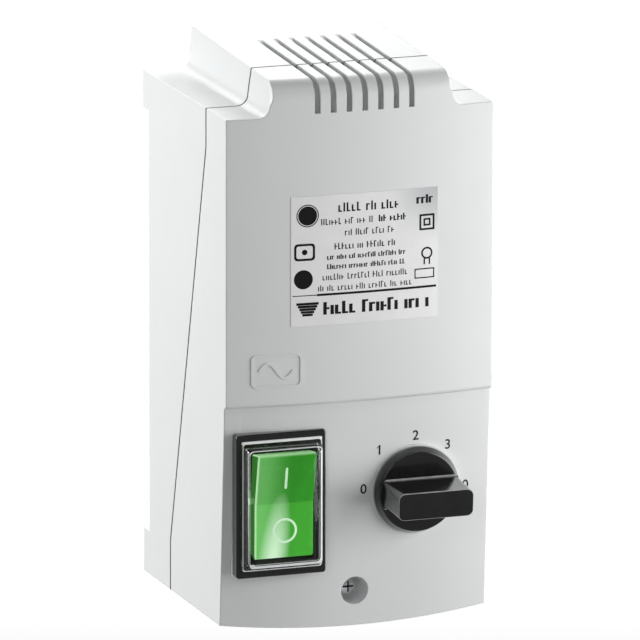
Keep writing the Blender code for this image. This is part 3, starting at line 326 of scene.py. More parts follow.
# ---- The moulded box
def stations(inset):
    """(x, whether the hood is above it, height where it isn't) from the left side to the right."""
    half = [(HALF_WIDTH - inset, False, SHOULDER_Z - inset)]
    for x in SHOULDER_COLUMNS:
        if x < HALF_WIDTH - inset - OVER:
            half.append((x, False, SHOULDER_Z - inset))
    reach = HOOD_FOOT_ROUND + inset
    for a, b in arc((HOOD_FOOT_X, SHOULDER_Z + HOOD_FOOT_ROUND), reach, -90, -180, 7):
        half.append((a, False, b))
    top = HOOD_HALF_TOP - inset
    half.append((top, True, 0.0))
    count, inner = 15, top - 0.0018
    half += [(inner - inner * i / count, True, 0.0) for i in range(count)]
    return [(-x, hood, z) for x, hood, z in half] + [(0.0, True, 0.0)] + half[::-1]


def hood_arc(x, inset):
    """(y, z) points from the hood's front edge up round to its crease."""
    radius = HOOD_ROUND - inset
    front = front_y(x) + inset
    crease_y = front + radius * (1 - sin(HOOD_CREASE))
    middle_z = hood_z(crease_y) - inset - radius * cos(HOOD_CREASE)
    points = []
    for i in range(ARC_STEPS + 1):
        turn = pi / 2 + (HOOD_CREASE - pi / 2) * i / ARC_STEPS
        points.append((front + radius * (1 - sin(turn)), middle_z + radius * cos(turn)))
    return points


def section(x, hood, height, inset, back):
    front = front_y(x) + inset
    foot = BOTTOM_Z - BOTTOM_DROP * (1 - (x / HALF_WIDTH) ** 2) + inset
    step = STEP_Z + inset
    points = [(back, foot), (panel_y(x, foot) + inset, foot), (panel_y(x, step) + inset, step)]
    for t in quarter_turn(5):
        points.append((front + STEP_ROUND * (1 - sin(t)), step + STEP_ROUND * (1 - cos(t))))
    if hood:
        return points + hood_arc(x, inset) + [(back, hood_z(back) - inset)]
    return points + [(front + SHOULDER_ROW * i, height) for i in range(ARC_STEPS + 1)] + [(back, height)]


def blank(name, inset, back, finish=None):
    """The whole box as one closed solid, its faces moved in by inset."""
    rings = []
    for x, hood, height in stations(inset):
        rings.append([Vector((x, y, z)) for y, z in section(x, hood, height, inset, back)])
    obj = loft(name, rings, finish)
    bm = bmesh.new()
    bm.from_mesh(obj.data)
    if inset == 0.0:
        sharp = [e for e in bm.edges if e.calc_face_angle_signed(0.0) > BEVEL_OVER]
        bmesh.ops.bevel(
            bm, geom=sharp, offset=EDGE, segments=3, profile=0.5, affect="EDGES", clamp_overlap=False
        )
    bmesh.ops.triangulate(bm, faces=[f for f in bm.faces if len(f.verts) == 4 and not is_flat(f)])
    bmesh.ops.recalc_face_normals(bm, faces=bm.faces)
    bm.to_mesh(obj.data)
    bm.free()
    shade(obj.data)
    return obj


def is_flat(face):
    middle = face.calc_center_median()
    return all(abs((v.co - middle).dot(face.normal)) < 1e-7 for v in face.verts)


def seam_line(offset):
    low = [(SEAM_FOOT[0] + offset, -FAR), (SEAM_FOOT[0] + offset, SEAM_FOOT[1])]
    return low + [(SEAM_TOP[0] + offset, SEAM_TOP[1]), (SEAM_TOP[0] + offset, FAR)]


def front_half(name, offset):
    outline = seam_line(offset) + [(-FAR, FAR), (-FAR, -FAR)]
    return prism(name, outline, 0, -HALF_WIDTH - OVER, HALF_WIDTH + OVER)


def seam_slab(name, half):
    """A sheet that follows the seam right across the box."""
    middle = SEAM_GAP / 2
    outline = seam_line(middle - half) + seam_line(middle + half)[::-1]
    return prism(name, outline, 0, -HALF_WIDTH - OVER, HALF_WIDTH + OVER)


def seam_channel():
    """Cuts the shallow channel round the outside of the seam, which holds the gasket's lip."""
    slab = seam_slab("seam_channel", SEAM_LIP / 2)
    cut(slab, blank("seam_channel_core", SEAM_LIP_DEPTH, 0.0))
    bake_modifiers(slab)
    return slab


# The black lip is the real gasket's, drawn out to fill the channel up to the surface so that it stands in for the
# shade in the seam's gap.
def build_seam_lip(finish, grooves):
    lip = seam_slab("seam_lip", SEAM_LIP / 2 - 0.00003)
    helpers.remove(lip)
    lip.data.materials.append(finish)
    cut(lip, blank("seam_lip_outside", 0.00004, 0.0), "INTERSECT")
    cut(lip, blank("seam_lip_core", SEAM_LIP_DEPTH - 0.00003, 0.0))
    cut(lip, grooves)
    bake_modifiers(lip)
    return lip


def groove_cutter(finish):
    """Blind grooves with softened lips, down the hood's front and out along its top."""
    bm = bmesh.new()
    half, lip, above = GROOVE_WIDTH / 2, 0.00022, 0.0008
    lean, end_share = -0.035, -0.02  # the top's slope, and how far the end rises past the surface
    for i in range(GROOVES):
        x = GROOVE_MIDDLE_X + (i - (GROOVES - 1) / 2) * GROOVE_PITCH
        arcs = hood_arc(x, 0.0)
        path = [(front_y(x), GROOVE_FOOT_Z, -1.0, 0.0, 1.0)]
        for k, (y, z) in enumerate(arcs):
            turn = pi / 2 + (HOOD_CREASE - pi / 2) * k / ARC_STEPS
            path.append((y, z, -sin(turn), cos(turn), 1.0))
        turn = HOOD_CREASE / 2
        path[-1] = (*arcs[-1], -sin(turn), cos(turn), 1.0 / cos(turn))
        start = GROOVE_BACK_Y - GROOVE_RUN_OUT
        path.append((start, hood_z(start), lean, 1.0, 1.0))
        path.append((GROOVE_BACK_Y, hood_z(GROOVE_BACK_Y), lean, 1.0, end_share))
        rings = []
        for y, z, ny, nz, share in path:
            depth = GROOVE_DEPTH * share
            lips = [(half + lip + above, -above), (half, min(lip, depth)), (half, depth)]
            lips += [(-across, down) for across, down in lips[::-1]]
            rings.append([(x + a, y - ny * down, z - nz * down) for a, down in lips])
        skin(bm, rings)
    bmesh.ops.triangulate(bm, faces=bm.faces)
    cutter = new_object(bm, "groove_cutter")
    # the cutter's darker grey finish passes to the groove faces it cuts: painted shade in the grooves
    cutter.data.materials.append(finish)
    return cutter


def sleeve(name, radius, back):
    return holes(name, [(SCREW_X, SCREW_Z)], radius, 48, -0.11, back)


def build_cover(finish, grooves, channel):
    cover = blank("cover_shell", 0.0, 0.0, finish)
    cut(cover, front_half("cover_half", 0.0), "INTERSECT")
    cut(cover, channel)
    inset = 0.0003  # the seat hides behind the bezel
    seat_low = Vector((BEZEL_LOW.x + inset, BEZEL_HIGH.y + 0.0003, BEZEL_LOW.z + inset))
    seat_high = Vector((BEZEL_HIGH.x - inset, -0.090, BEZEL_HIGH.z - inset))
    cut(cover, box("switch_seat", seat_low, seat_high), "UNION")
    inside = Vector((0.0001, 0.0, 0.0001))
    pocket_high = Vector((seat_high.x, seat_low.y - 0.00005, seat_high.z)) - inside
    cut(cover, box("switch_pocket", seat_low + inside - Vector((0, 0.02, 0)), pocket_high))
    rim, root = 0.0003, 0.0025
    seat = [(0.0, -KNOB_SEAT)]
    seat += arc((KNOB_SEAT_RADIUS - rim, -KNOB_SEAT + rim), rim, -90, 0, 4)
    seat += [(KNOB_SEAT_RADIUS, root), (0.0, root)]
    cut(cover, turned("knob_seat", seat, 96, place=KNOB_FRAME), "UNION")

    cavity = blank("cover_cavity", WALL, -0.005)
    cut(cavity, sleeve("sleeve_blank", 0.0078, SLEEVE_BACK_Y))
    cut(cover, cavity)
    cut(cover, drum("rotary_recess", 0.0176, 0.0031, 0.012, 48))
    body_low, body_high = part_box("switch_body")
    clear = Vector((0.0003, 0.0, 0.0003))
    window_low = Vector((body_low.x, -0.11, body_low.z)) - clear
    cut(cover, box("switch_window", window_low, Vector((body_high.x, -0.085, body_high.z)) + clear))
    cut(cover, drum("shaft_hole", 0.0051, -0.01, 0.01, 48))
    mouth, radius, lead_in = panel_y(SCREW_X, SCREW_Z), COUNTERBORE_RADIUS, 0.00025
    well = [(0.0, SCREW_SEAT_Y), (radius, SCREW_SEAT_Y), (radius, mouth + 0.0003)]
    well += [(radius + lead_in, mouth), (radius + 0.0008, mouth - OVER), (0.0, mouth - OVER)]
    cut(cover, turned("counterbore", well, 64, centre=(SCREW_X, 0.0, SCREW_Z)))
    cut(cover, holes("screw_clearance", [(SCREW_X, SCREW_Z)], 0.0023, 24, -0.09, SLEEVE_BACK_Y + OVER))
    # the grooves keep the cutter's darker finish: painted shade
    cut(cover, grooves, keep_finish=True)
    return bake_even(cover)


def build_base(finish, grooves, channel):
    base = blank("base_shell", 0.0, 0.0, finish)
    cut(base, front_half("base_front_cutter", SEAM_GAP))
    cut(base, channel)
    edge, above = HOOD_FOOT_X + 2 * OVER, SHOULDER_Z + 0.0002
    cut(base, box("hood_back_cutter", (-edge, HOOD_BACK[0], above), (edge, OVER, FAR)))
    post, cover_post = 0.005, [(SCREW_X, SCREW_Z)]
    cavity = blank("base_cavity", WALL, BACK_Y)
    cut(cavity, holes("core_posts", CORE_POSTS, post, 24, -0.0202, 0.0))
    cut(cavity, holes("cover_post", cover_post, post, 24, SLEEVE_BACK_Y + 0.0003, 0.0))
    cut(base, cavity)
    floor, ceiling, near_wall = BOTTOM_Z + WALL, SHOULDER_Z - WALL, BACK_Y - OVER
    well = box("middle_well", (-0.033, near_wall, floor), (0.033, -WALL, ceiling))
    cut(well, holes("cover_post_root", cover_post, post, 24, BACK_Y - 2 * OVER, 0.0))
    cut(base, well)
    for sign, label in ((-1, "left"), (1, "right")):
        near, far = sorted((sign * PLATEAU_HALF, sign * (HALF_WIDTH + OVER)))
        cut(base, box(f"rebate_{label}", (near, -REBATE_DEPTH, REBATE_Z[0]), (far, OVER, REBATE_Z[1])))
        near, far = sorted((sign * 0.032, sign * (HALF_WIDTH - WALL)))
        foot_top, head_foot = REBATE_Z[0] - WALL, REBATE_Z[1] + WALL
        cut(base, box(f"foot_well_{label}", (near, near_wall, floor), (far, -WALL, foot_top)))
        cut(base, box(f"head_well_{label}", (near, near_wall, head_foot), (far, -WALL, ceiling)))
    cut(base, holes("core_screw_holes", CORE_POSTS, 0.0023, 24, -0.0212, -0.0115))
    cut(base, holes("cover_screw_hole", cover_post, 0.0019, 24, SLEEVE_BACK_Y - OVER, -0.040))
    cut(base, holes("wall_screw_holes", WALL_SCREWS, 0.0025, 32, -0.006, OVER))
    below = BOTTOM_Z - BOTTOM_DROP - 4 * OVER
    entries = []
    for label in ("left", "right"):
        low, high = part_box(f"cable_grommet_{label}")
        entries.append(((low.x + high.x) / 2, (low.y + high.y) / 2))
    cut(base, holes("cable_holes", entries, GROMMET_HOLE, 48, below, -0.098, axis=2))
    cut(base, holes("cable_spot_faces", entries, 0.0089, 64, below, GROMMET_SEAT_Z, axis=2))
    # the grooves keep the cutter's darker finish: painted shade
    cut(base, grooves, keep_finish=True)
    return bake_even(base)


# ---- Front furniture
def half_size(low, high):
    return (high.x - low.x) / 2, (high.z - low.z) / 2


def swept_frame(name, centre, half_a, half_b, corner, profile, finish, steps=6):
    """A rectangular ring whose cross-section is (inset from outside, y) points, in order round it."""
    rings = []
    for inset, y in profile:
        outline = rounded(half_a - inset, half_b - inset, max(corner - inset, 0.0002), steps, centre)
        rings.append(along(1, outline, y))
    return loft(name, rings, finish, closed=True)


def build_bezel(finish):
    half_a, half_b = half_size(BEZEL_LOW, BEZEL_HIGH)
    front, back = BEZEL_LOW.y, BEZEL_HIGH.y
    body_low, body_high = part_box("switch_body")
    clear, r, thin = 0.0003, 0.0005, 0.00025
    width = half_a - (body_high.x - body_low.x) / 2 - clear
    skirt = panel_y(BEZEL_LOW.x, BEZEL_HIGH.z) + 0.0003  # reaches the panel all round
    profile = [(0.0, skirt)]
    profile += [(r - a, front + r - b) for a, b in arc((0, 0), r, 0, 90, 4)]
    profile += [(width - r + a, front + r - b) for a, b in arc((0, 0), r, 90, 0, 4)]
    profile += [(width, back), (thin, back), (thin, skirt)]
    bezel = swept_frame("bezel_frame", (SWITCH_X, BEZEL_Z), half_a, half_b, 0.0013, profile, finish)
    middle, opening_half = (body_high.z + body_low.z) / 2, (body_high.z - body_low.z) / 2 + clear
    opening_low = (SWITCH_X - half_a + width, front - OVER, middle - opening_half)
    opening_high = (SWITCH_X + half_a - width, back + OVER, middle + opening_half)
    cut(bezel, box("bezel_opening", opening_low, opening_high))
    return bake_even(bezel)


FLANGE_ROUND = 0.0009
CAP_WINDOW_HALF = (0.01485, 0.02325)
CAP_CROWN = 0.00018


def build_splash_cap(finish, highlight_finish):
    """A clear moulded cap: a flat flange, walls that lean in and a slightly crowned window.

    The parts of its two roundings on the lit sides get the second finish, a whitish painted highlight.
    """
    half_a, half_b = half_size(HOOD_LOW, HOOD_HIGH)
    base, front = HOOD_HIGH.y, HOOD_LOW.y
    flange, wall, corner, edge = base - 0.001, 0.0008, 0.0011, 0.0008
    side_a, side_b = half_a - 0.0010, half_b - 0.0013
    (top_a, top_b), crown = CAP_WINDOW_HALF, CAP_CROWN
    wall_foot, draft, top_corner = flange - 0.0003, 0.0001, 0.0018
    outer = [(half_a, half_b, base, corner), (half_a, half_b, flange + FLANGE_ROUND, corner)]
    outer += [(half_a - inset, half_b - inset, flange + y, corner) for inset, y in fillet(FLANGE_ROUND)]
    outer += [(side_a + draft, side_b + 0.0003, flange, corner), (side_a, side_b, wall_foot, corner)]
    for share in (0.5, 0.86):
        a = side_a + (top_a - side_a) * share
        b = side_b + (top_b - side_b) * share
        outer.append((a, b, wall_foot + (front - wall_foot) * share, 0.0014))
    round_start = len(outer) - 1
    outer += [(top_a - inset, top_b - inset, front + crown + y, top_corner) for inset, y in fillet(edge)]
    round_end = len(outer) - 1
    for share in (0.7, 0.35):
        a, b = (top_a - edge) * share, (top_b - edge) * share
        outer.append((a, b, front + crown * share**2, top_corner * share))
    back = front + wall  # of the window
    inner = [(side_a - wall, side_b - wall, y, 0.0012) for y in (base, flange)]
    inner += [(top_a - wall, top_b - wall, back + 0.0006, 0.0012)]
    inner += [(top_a - wall - 0.0005, top_b - wall - 0.0005, back + crown, 0.0012)]
    inner += [(0.7 * top_a, 0.7 * top_b, back, 0.001), (0.35 * top_a, 0.35 * top_b, back, 0.0006)]
    bm = bmesh.new()
    rings = []
    for a, b, y, radius in inner + outer:
        outline = rounded(a, b, radius, 6, (SWITCH_X, BEZEL_Z))
        rings.append([bm.verts.new(p) for p in along(1, outline, y)])
    first, count = len(inner), len(rings[0])
    join(bm, rings[:first][::-1] + rings[first:])
    bm.faces.ensure_lookup_table()
    bm.normal_update()
    # (rows of faces, which side gets the painted highlight across and up, the row that gets it all round)
    lit = (
        (range(first + 1, first + 5), 0, 1, first + 4),
        (range(first + round_start, first + round_end), 1, -1, first + round_start),
    )
    for rows, across, up, all_round in lit:
        for row in rows:
            for face in bm.faces[row * count:(row + 1) * count]:
                away = face.calc_center_median() - Vector((SWITCH_X, 0.0, BEZEL_Z))
                x, z = away.x / half_a, away.z / half_b
                facing = x * across if abs(x) > abs(z) else z * up
                if facing > 0 or row == all_round:
                    face.material_index = 1
    cap = new_object(bm, "splash_cap", finish, smooth=40.0)
    cap.data.materials.append(highlight_finish)
    return cap


ROCKER_HALF = (0.0121, 0.0213)
ROCKER_SHIFT = 0.0008
ROCKER_FACE = (-0.0071, -0.009)  # at the crease and at the ends
ROCKER_EDGE = 0.0009
TRUNNION_RADIUS = 0.0012
PLUNGER_BOSS_RADIUS = 0.0024
FLANK_NORMAL = 0.85  # faces turned further sideways than this count as flank


def rocker_outline(inset):
    half_z, r, skirt, lip = ROCKER_HALF[1] - inset, ROCKER_EDGE, -0.002, 0.0013
    crease, end = ROCKER_FACE[0] + inset, ROCKER_FACE[1] + inset
    points = [(crease, 0.0)]
    points += [(end + r - r * sin(t), -half_z + r - r * cos(t)) for t in quarter_turn()[::-1]]
    points += [(skirt, -half_z + lip), (skirt, -0.0052), (0.0024, -0.0035)]
    points += [(0.0024, 0.0035), (skirt, 0.0052), (skirt, half_z - lip)]
    points += [(end + r - r * sin(t), half_z - r + r * cos(t)) for t in quarter_turn()]
    return points


def quarter_turn(steps=4):
    return [pi / 2 * i / steps for i in range(steps + 1)]


def fillet(radius):
    """(inset, distance left to the front) round a front edge, after its first point."""
    return [(radius * (1 - cos(t)), radius * (1 - sin(t))) for t in quarter_turn()[1:]]


def build_rocker(finish, shaded_flank_finish):
    half_x, r = ROCKER_HALF[0], 0.0006
    rings = []
    ends = [(half_x - r + r * sin(t), r * (1 - cos(t))) for t in quarter_turn()]
    for x, inset in [(-x, i) for x, i in ends[::-1]] + ends:
        rings.append(along(0, rocker_outline(inset), x + ROCKER_SHIFT))
    rocker = loft("rocker_cap", rings, finish, place=ROCKER_FRAME)
    inside = [(-0.0076, 0.0204), (-0.0058, 0.0), (-0.0076, -0.0204), (0.006, -0.0192), (0.006, 0.0192)]
    inner = half_x - 0.0013
    cut(rocker, prism("rocker_hollow", inside, 0, -inner, inner, place=ROCKER_FRAME))
    pin = circle(TRUNNION_RADIUS, 24)
    for sign, label in ((-1, "left"), (1, "right")):
        near, far = sorted((sign * (half_x - 0.0009), sign * (half_x + 0.0013)))
        cut(rocker, prism(f"trunnion_{label}", pin, 0, near, far, place=ROCKER_FRAME), "UNION")
    boss = circle(PLUNGER_BOSS_RADIUS, 24)
    cut(rocker, prism("plunger_boss", boss, 1, -0.0065, -0.0022, place=ROCKER_FRAME), "UNION")
    bake_even(rocker)
    rocker.data.materials.append(shaded_flank_finish)
    # faces turned sideways get the darker, dimmer green: painted shade on the rocker's flanks
    for face in rocker.data.polygons:
        face.material_index = 1 if abs(face.normal.x) > FLANK_NORMAL else 0
    return rocker


def build_rocker_marks(finish):
    """The bar on the upper half and the ring on the lower, as thin inlays just proud of the face."""
    bm = bmesh.new()
    slope = (ROCKER_FACE[1] - ROCKER_FACE[0]) / (ROCKER_HALF[1] - ROCKER_EDGE)

    def on_face(x, z, lift):
        return Vector((x, ROCKER_FACE[0] + slope * abs(z) - lift, z))

    ring_centre, outer, stroke, lifts = (0.0011, -0.0103), 0.0050, 0.0009, (-0.0001, 0.00004)
    plate(bm, rounded(0.0005, 0.0045, 0.00042, 4, (0.0009, 0.0114)), on_face, *lifts)
    ring, hole = circle(outer, 64, ring_centre), circle(outer - stroke, 64, ring_centre)
    band(bm, ring, hole, on_face, *lifts)
    bm.transform(ROCKER_FRAME)
    return new_object(bm, "rocker_marks", finish)


KNOB_RADIUS = 0.0176
KNOB_FACE = 0.005  # how far the disc's face stands off the panel
KNOB_BACK = 0.0013
GRIP_HALF = (0.0155, 0.0055)
GRIP_TIP = 0.00045  # rounding of the grip's front edges


def build_knob(finish, rubbed):
    radius, back, face, r, tip = KNOB_RADIUS, KNOB_BACK, KNOB_FACE, 0.0005, GRIP_TIP
    profile = [(0.0, -face), (0.004, -face), (0.010, -face)]
    profile += arc((0.0163 - r, -face + r), r, -90, -28, 4)
    profile += arc((radius - 0.0004, -back - 0.0008), 0.0004, -28, 0, 2)
    profile += [(radius, -back), (0.0, -back)]
    knob = turned("knob_cap", profile, 128, finish, place=KNOB_FRAME)
    front = knob_front() + 0.0001
    half_x, half_z = GRIP_HALF
    # (half length, half width, position, corner) from the foot to the front
    grip = [
        (half_x, half_z + 0.0006, -face + 0.0006, 0.0012),
        (half_x, half_z + 0.0006, -face - 0.0004, 0.0012),
        (half_x, half_z + 0.0004, -face - 0.0006, 0.0012),
        (half_x, half_z + 0.0001, -face - 0.0006, 0.0012),
        (half_x, half_z, -face - 0.0008, 0.0014),
        (half_x, half_z - 0.0002, -0.012, 0.0020),
        (half_x, half_z, front + tip, 0.0026),
    ]
    for inset, y in fillet(tip):
        grip.append((half_x - inset, half_z - inset, front + y, 0.0026 - inset))
    rings = [along(1, rounded(a, b, corner, 6, (0.0006, 0.0)), y) for a, b, y, corner in grip]
    cut(knob, loft("grip_bar", rings, place=KNOB_FRAME), "UNION")
    cut(knob, drum("knob_hollow", 0.0098, -0.0043, 0.0, 48))
    cut(knob, drum("knob_bore", 0.0033, -0.0145, 0.0, 32))
    bake_even(knob)
    knob.data.materials.append(rubbed)
    back_again = KNOB_FRAME.inverted()
    turn_back = back_again.to_3x3()
    # the grip's front edges, the ledge at its root and the skirt's rim take the lighter grey second finish:
    # painted glints
    for polygon in knob.data.polygons:
        at, way = back_again @ polygon.center, turn_back @ polygon.normal
        on_tip = at.y < front + tip and abs(way.y) < 0.93
        on_ledge = -face - 0.0009 < at.y < -face - 0.0002 and way.y < -0.2
        on_ledge = on_ledge and half_z < abs(at.z) < half_z + 0.0013 and abs(at.x) < radius - 0.001
        on_rim = hypot(at.x, at.z) > radius - 0.00045 and at.y > -back - 0.0009
        if on_tip or on_ledge or (on_rim and -0.9 < way.y < -0.05):
            polygon.material_index = 1
    return knob


def knob_front():
    """How far the grip stands off the panel at the knob's axis, along that axis."""
    points = [KNOB_FRAME.inverted() @ v.co for v in frame["nodes"]["knob"].data.vertices]
    return min(p.y for p in points)


SCREW_SLOT = (0.0004, 0.0023)  # half width and half length of the cross
SLOT_FLOOR = 0.0012


def build_slot_shade(finish):
    """A dark filling at the bottom of the cross: painted shade in the slots."""
    bm = bmesh.new()
    a, b = SCREW_SLOT[0] * 0.96, SCREW_SLOT[1] * 0.98
    corner = [(a, a), (a, b), (-a, b)]
    cross = corner + [(-z, x) for x, z in corner] + [(-x, -z) for x, z in corner]
    cross += [(z, -x) for x, z in corner]
    outline = [(SCREW_X + x, SCREW_Z + z) for x, z in cross]
    floor = SCREW_SEAT_Y - SLOT_FLOOR
    skin(bm, [along(1, outline, y) for y in (floor - 0.0007, floor - 0.00002)])
    return new_object(bm, "screw_slot_painted_shade", finish)


def build_screw(finish):
    seat, head, shank = SCREW_SEAT_Y, SCREW_HEAD, 0.0016
    profile = [(0.0, seat - 0.0025), (head * 0.35, seat - 0.00246), (head * 0.62, seat - 0.00225)]
    profile += [(head * 0.82, seat - 0.00185), (head * 0.94, seat - 0.0013), (head, seat - 0.0006)]
    profile += [(head, seat - 0.0003), (shank, seat - 0.0003), (shank, SCREW_HIGH.y - 0.0015)]
    profile += [(shank * 0.5, SCREW_HIGH.y), (0.0, SCREW_HIGH.y)]
    screw = turned("screw_visible", profile, 64, finish, centre=(SCREW_X, 0.0, SCREW_Z))
    bar, reach = SCREW_SLOT
    for label, a, b in (("across", reach, bar), ("up", bar, reach)):
        low = (SCREW_X - a, seat - 0.004, SCREW_Z - b)
        cut(screw, box(f"screw_slot_{label}", low, (SCREW_X + a, seat - SLOT_FLOOR, SCREW_Z + b)))
    bake_modifiers(screw)
    return screw


def build_grommet(name, label, finish):
    low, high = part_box(f"cable_grommet_{label}")
    centre = ((low.x + high.x) / 2, (low.y + high.y) / 2, 0.0)
    flange, seat, bore = (high.x - low.x) / 2, GROMMET_SEAT_Z, 0.0038
    neck, bead, inner = GROMMET_HOLE - 0.0003, GROMMET_HOLE + 0.0007, -0.0995
    foot = low.z
    profile = arc((bore + 0.0005, foot + 0.0005), 0.0005, 180, 270, 4)
    profile += arc((flange - 0.0008, foot + 0.0008), 0.0008, -90, 0, 5)
    profile += [(flange, seat - 0.0003), (neck, seat - 0.0003), (neck, inner), (bead, inner)]
    profile += [(bead - 0.0012, high.z), (bore, high.z)]
    return turned(name, profile[::-1], 64, finish, axis=2, centre=centre)


# ---- Label, dial and moulded sign
def on_front(x, z, lift):
    return Vector((x, front_y(x) - lift, z))


def on_panel(x, z, lift):
    return Vector((x, panel_y(x, z) - lift, z))


def plate(bm, outline, surface, low, high):
    """A thin solid between two lifts off a surface, over a flat outline in x and z."""
    skin(bm, [[surface(x, z, lift) for x, z in outline] for lift in (low, high)])


def band(bm, outer, inner, surface, low, high):
    """A thin ring between two outlines with equally many points."""
    rows = ((outer, low), (outer, high), (inner, high), (inner, low))
    skin(bm, [[surface(x, z, lift) for x, z in row] for row, lift in rows], closed=True)


PRINT_LIFT = (0.00014, 0.0002)
FILM_LIFT = (0.00004, 0.00018)


def patch(bm, x0, z0, x1, z1):
    """A rectangle of print."""
    plate(bm, [(x0, z0), (x1, z0), (x1, z1), (x0, z1)], on_front, *PRINT_LIFT)


def build_label_film(finish):
    bm = bmesh.new()
    count = 24
    low, high = LABEL_LOW, LABEL_HIGH
    row = [(low.z, FILM_LIFT[0]), (low.z, FILM_LIFT[1]), (high.z, FILM_LIFT[1]), (high.z, FILM_LIFT[0])]
    xs = [low.x + (high.x - low.x) * i / count for i in range(count + 1)]
    skin(bm, [[on_front(x, z, lift) for z, lift in row] for x in xs])
    return new_object(bm, "label_film", finish)


def label_place(u, v):
    """From shares across and down the label to x and z."""
    x = LABEL_LOW.x + u * (LABEL_HIGH.x - LABEL_LOW.x)
    return x, LABEL_HIGH.z - v * (LABEL_HIGH.z - LABEL_LOW.z)


def stroke_row(bm, rng, start, end, middle, height, weight):
    """A row of upright strokes in groups, which stands for a line of print and spells nothing."""
    pitch = height * 0.36
    thick, reach, bar = pitch * weight, pitch * 0.62, height * 0.16
    x, top = label_place(start, middle - height / 2 / (LABEL_HIGH.z - LABEL_LOW.z))
    stop, _ = label_place(end, middle)
    foot = top - height
    left = rng.randint(3, 8)
    while x + pitch < stop:
        tall = height * rng.choice((1.0, 0.74, 0.74, 1.0, 0.74))
        patch(bm, x, foot, x + thick, foot + tall)
        if rng.random() < 0.55:
            at = foot + rng.choice((0.0, tall / 2 - bar / 2, tall - bar))
            patch(bm, x + thick, at, x + thick + reach, at + bar)
            x += reach
        x += pitch
        left -= 1
        if left == 0:
            x += pitch * 1.3
            left = rng.randint(3, 8)


# (start, end, middle, height, weight): shares across and down the label, and the strokes' size
PRINT_ROWS = (
    (0.315, 0.745, 0.100, 0.0036, 0.54),
    (0.850, 0.985, 0.085, 0.0034, 0.82),
    (0.200, 0.560, 0.205, 0.0025, 0.48),
    (0.590, 0.780, 0.205, 0.0026, 0.68),
    (0.360, 0.700, 0.295, 0.0025, 0.48),
    (0.290, 0.720, 0.398, 0.0025, 0.54),
    (0.240, 0.780, 0.478, 0.0020, 0.70),
    (0.240, 0.780, 0.552, 0.0020, 0.70),
    (0.210, 0.790, 0.632, 0.0024, 0.48),
    (0.180, 0.830, 0.715, 0.0024, 0.48),
    (0.215, 0.965, 0.872, 0.0050, 0.78),
)
# (across, down, radius)
PRINT_DISCS = ((0.110, 0.150, 0.0038), (0.090, 0.430, 0.0011), (0.082, 0.640, 0.0038))
# (across, down, radius, stroke)
PRINT_RINGS = ((0.110, 0.150, 0.0045, 0.0004), (0.925, 0.505, 0.0024, 0.0007))
# (across, down, half width, half height, stroke, corner)
PRINT_FRAMES = (
    (0.090, 0.430, 0.0042, 0.0034, 0.0009, 0.0014),
    (0.925, 0.265, 0.0032, 0.0032, 0.0008, 0.0003),
    (0.925, 0.265, 0.0015, 0.0015, 0.0007, 0.0003),
    (0.908, 0.660, 0.0042, 0.0020, 0.0005, 0.0003),
)
PRINT_STEMS = (0.907, 0.943)  # across, under the right-hand ring
RULE_DOWN, RULE_PIECES = 0.765, 12


def build_label_print(finish):
    bm = bmesh.new()
    rng = random.Random(7)
    for row in PRINT_ROWS:
        stroke_row(bm, rng, *row)
    for u, v, radius in PRINT_DISCS:
        plate(bm, circle(radius, 40, label_place(u, v)), on_front, *PRINT_LIFT)
    for u, v, radius, stroke in PRINT_RINGS:
        outer, inner = (circle(r, 40, label_place(u, v)) for r in (radius, radius - stroke))
        band(bm, outer, inner, on_front, *PRINT_LIFT)
    for u, v, half_a, half_b, stroke, corner in PRINT_FRAMES:
        outer = rounded(half_a, half_b, corner, 3, label_place(u, v))
        inner = rounded(half_a - stroke, half_b - stroke, corner * 0.6, 3, label_place(u, v))
        band(bm, outer, inner, on_front, *PRINT_LIFT)
    for u in PRINT_STEMS:
        x, z = label_place(u, 0.57)
        patch(bm, x - 0.0003, z - 0.0012, x + 0.0003, z + 0.0012)
    for i in range(RULE_PIECES):
        x0, z = label_place(0.01 + 0.98 * i / RULE_PIECES, RULE_DOWN)
        x1, _ = label_place(0.01 + 0.98 * (i + 1) / RULE_PIECES, RULE_DOWN)
        half = 0.00018 if i < 2 else 0.00045
        patch(bm, x0, z - half, x1, z + half)
    x, z = label_place(0.11, 0.872)
    for i in range(5):  # a tapering stack of bars
        wide, top = 0.0045 - 0.0006 * i, z + 0.0027 - 0.0011 * i
        for x0, x1 in ((x - wide, x - wide / 3), (x - wide / 3, x + wide / 3), (x + wide / 3, x + wide)):
            patch(bm, x0, top - 0.0010, x1, top)
    return new_object(bm, "label_print", finish)


DIAL_MARKS = (("0", 0.0019, -0.0496), ("1", 0.0082, -0.0342), ("2", 0.0233, -0.0295))
DIAL_MARKS += (("3", 0.0371, -0.0345), ("0", 0.0452, -0.0519))
DIAL_HEIGHT = 0.0040
DIGIT_SHARE = 0.72  # a digit's height in the font's own size
ONE_FLAG = ((-0.0001, 0.9), (-0.0001, 1.0), (-0.28, 0.72), (-0.28, 0.60))  # in digit heights


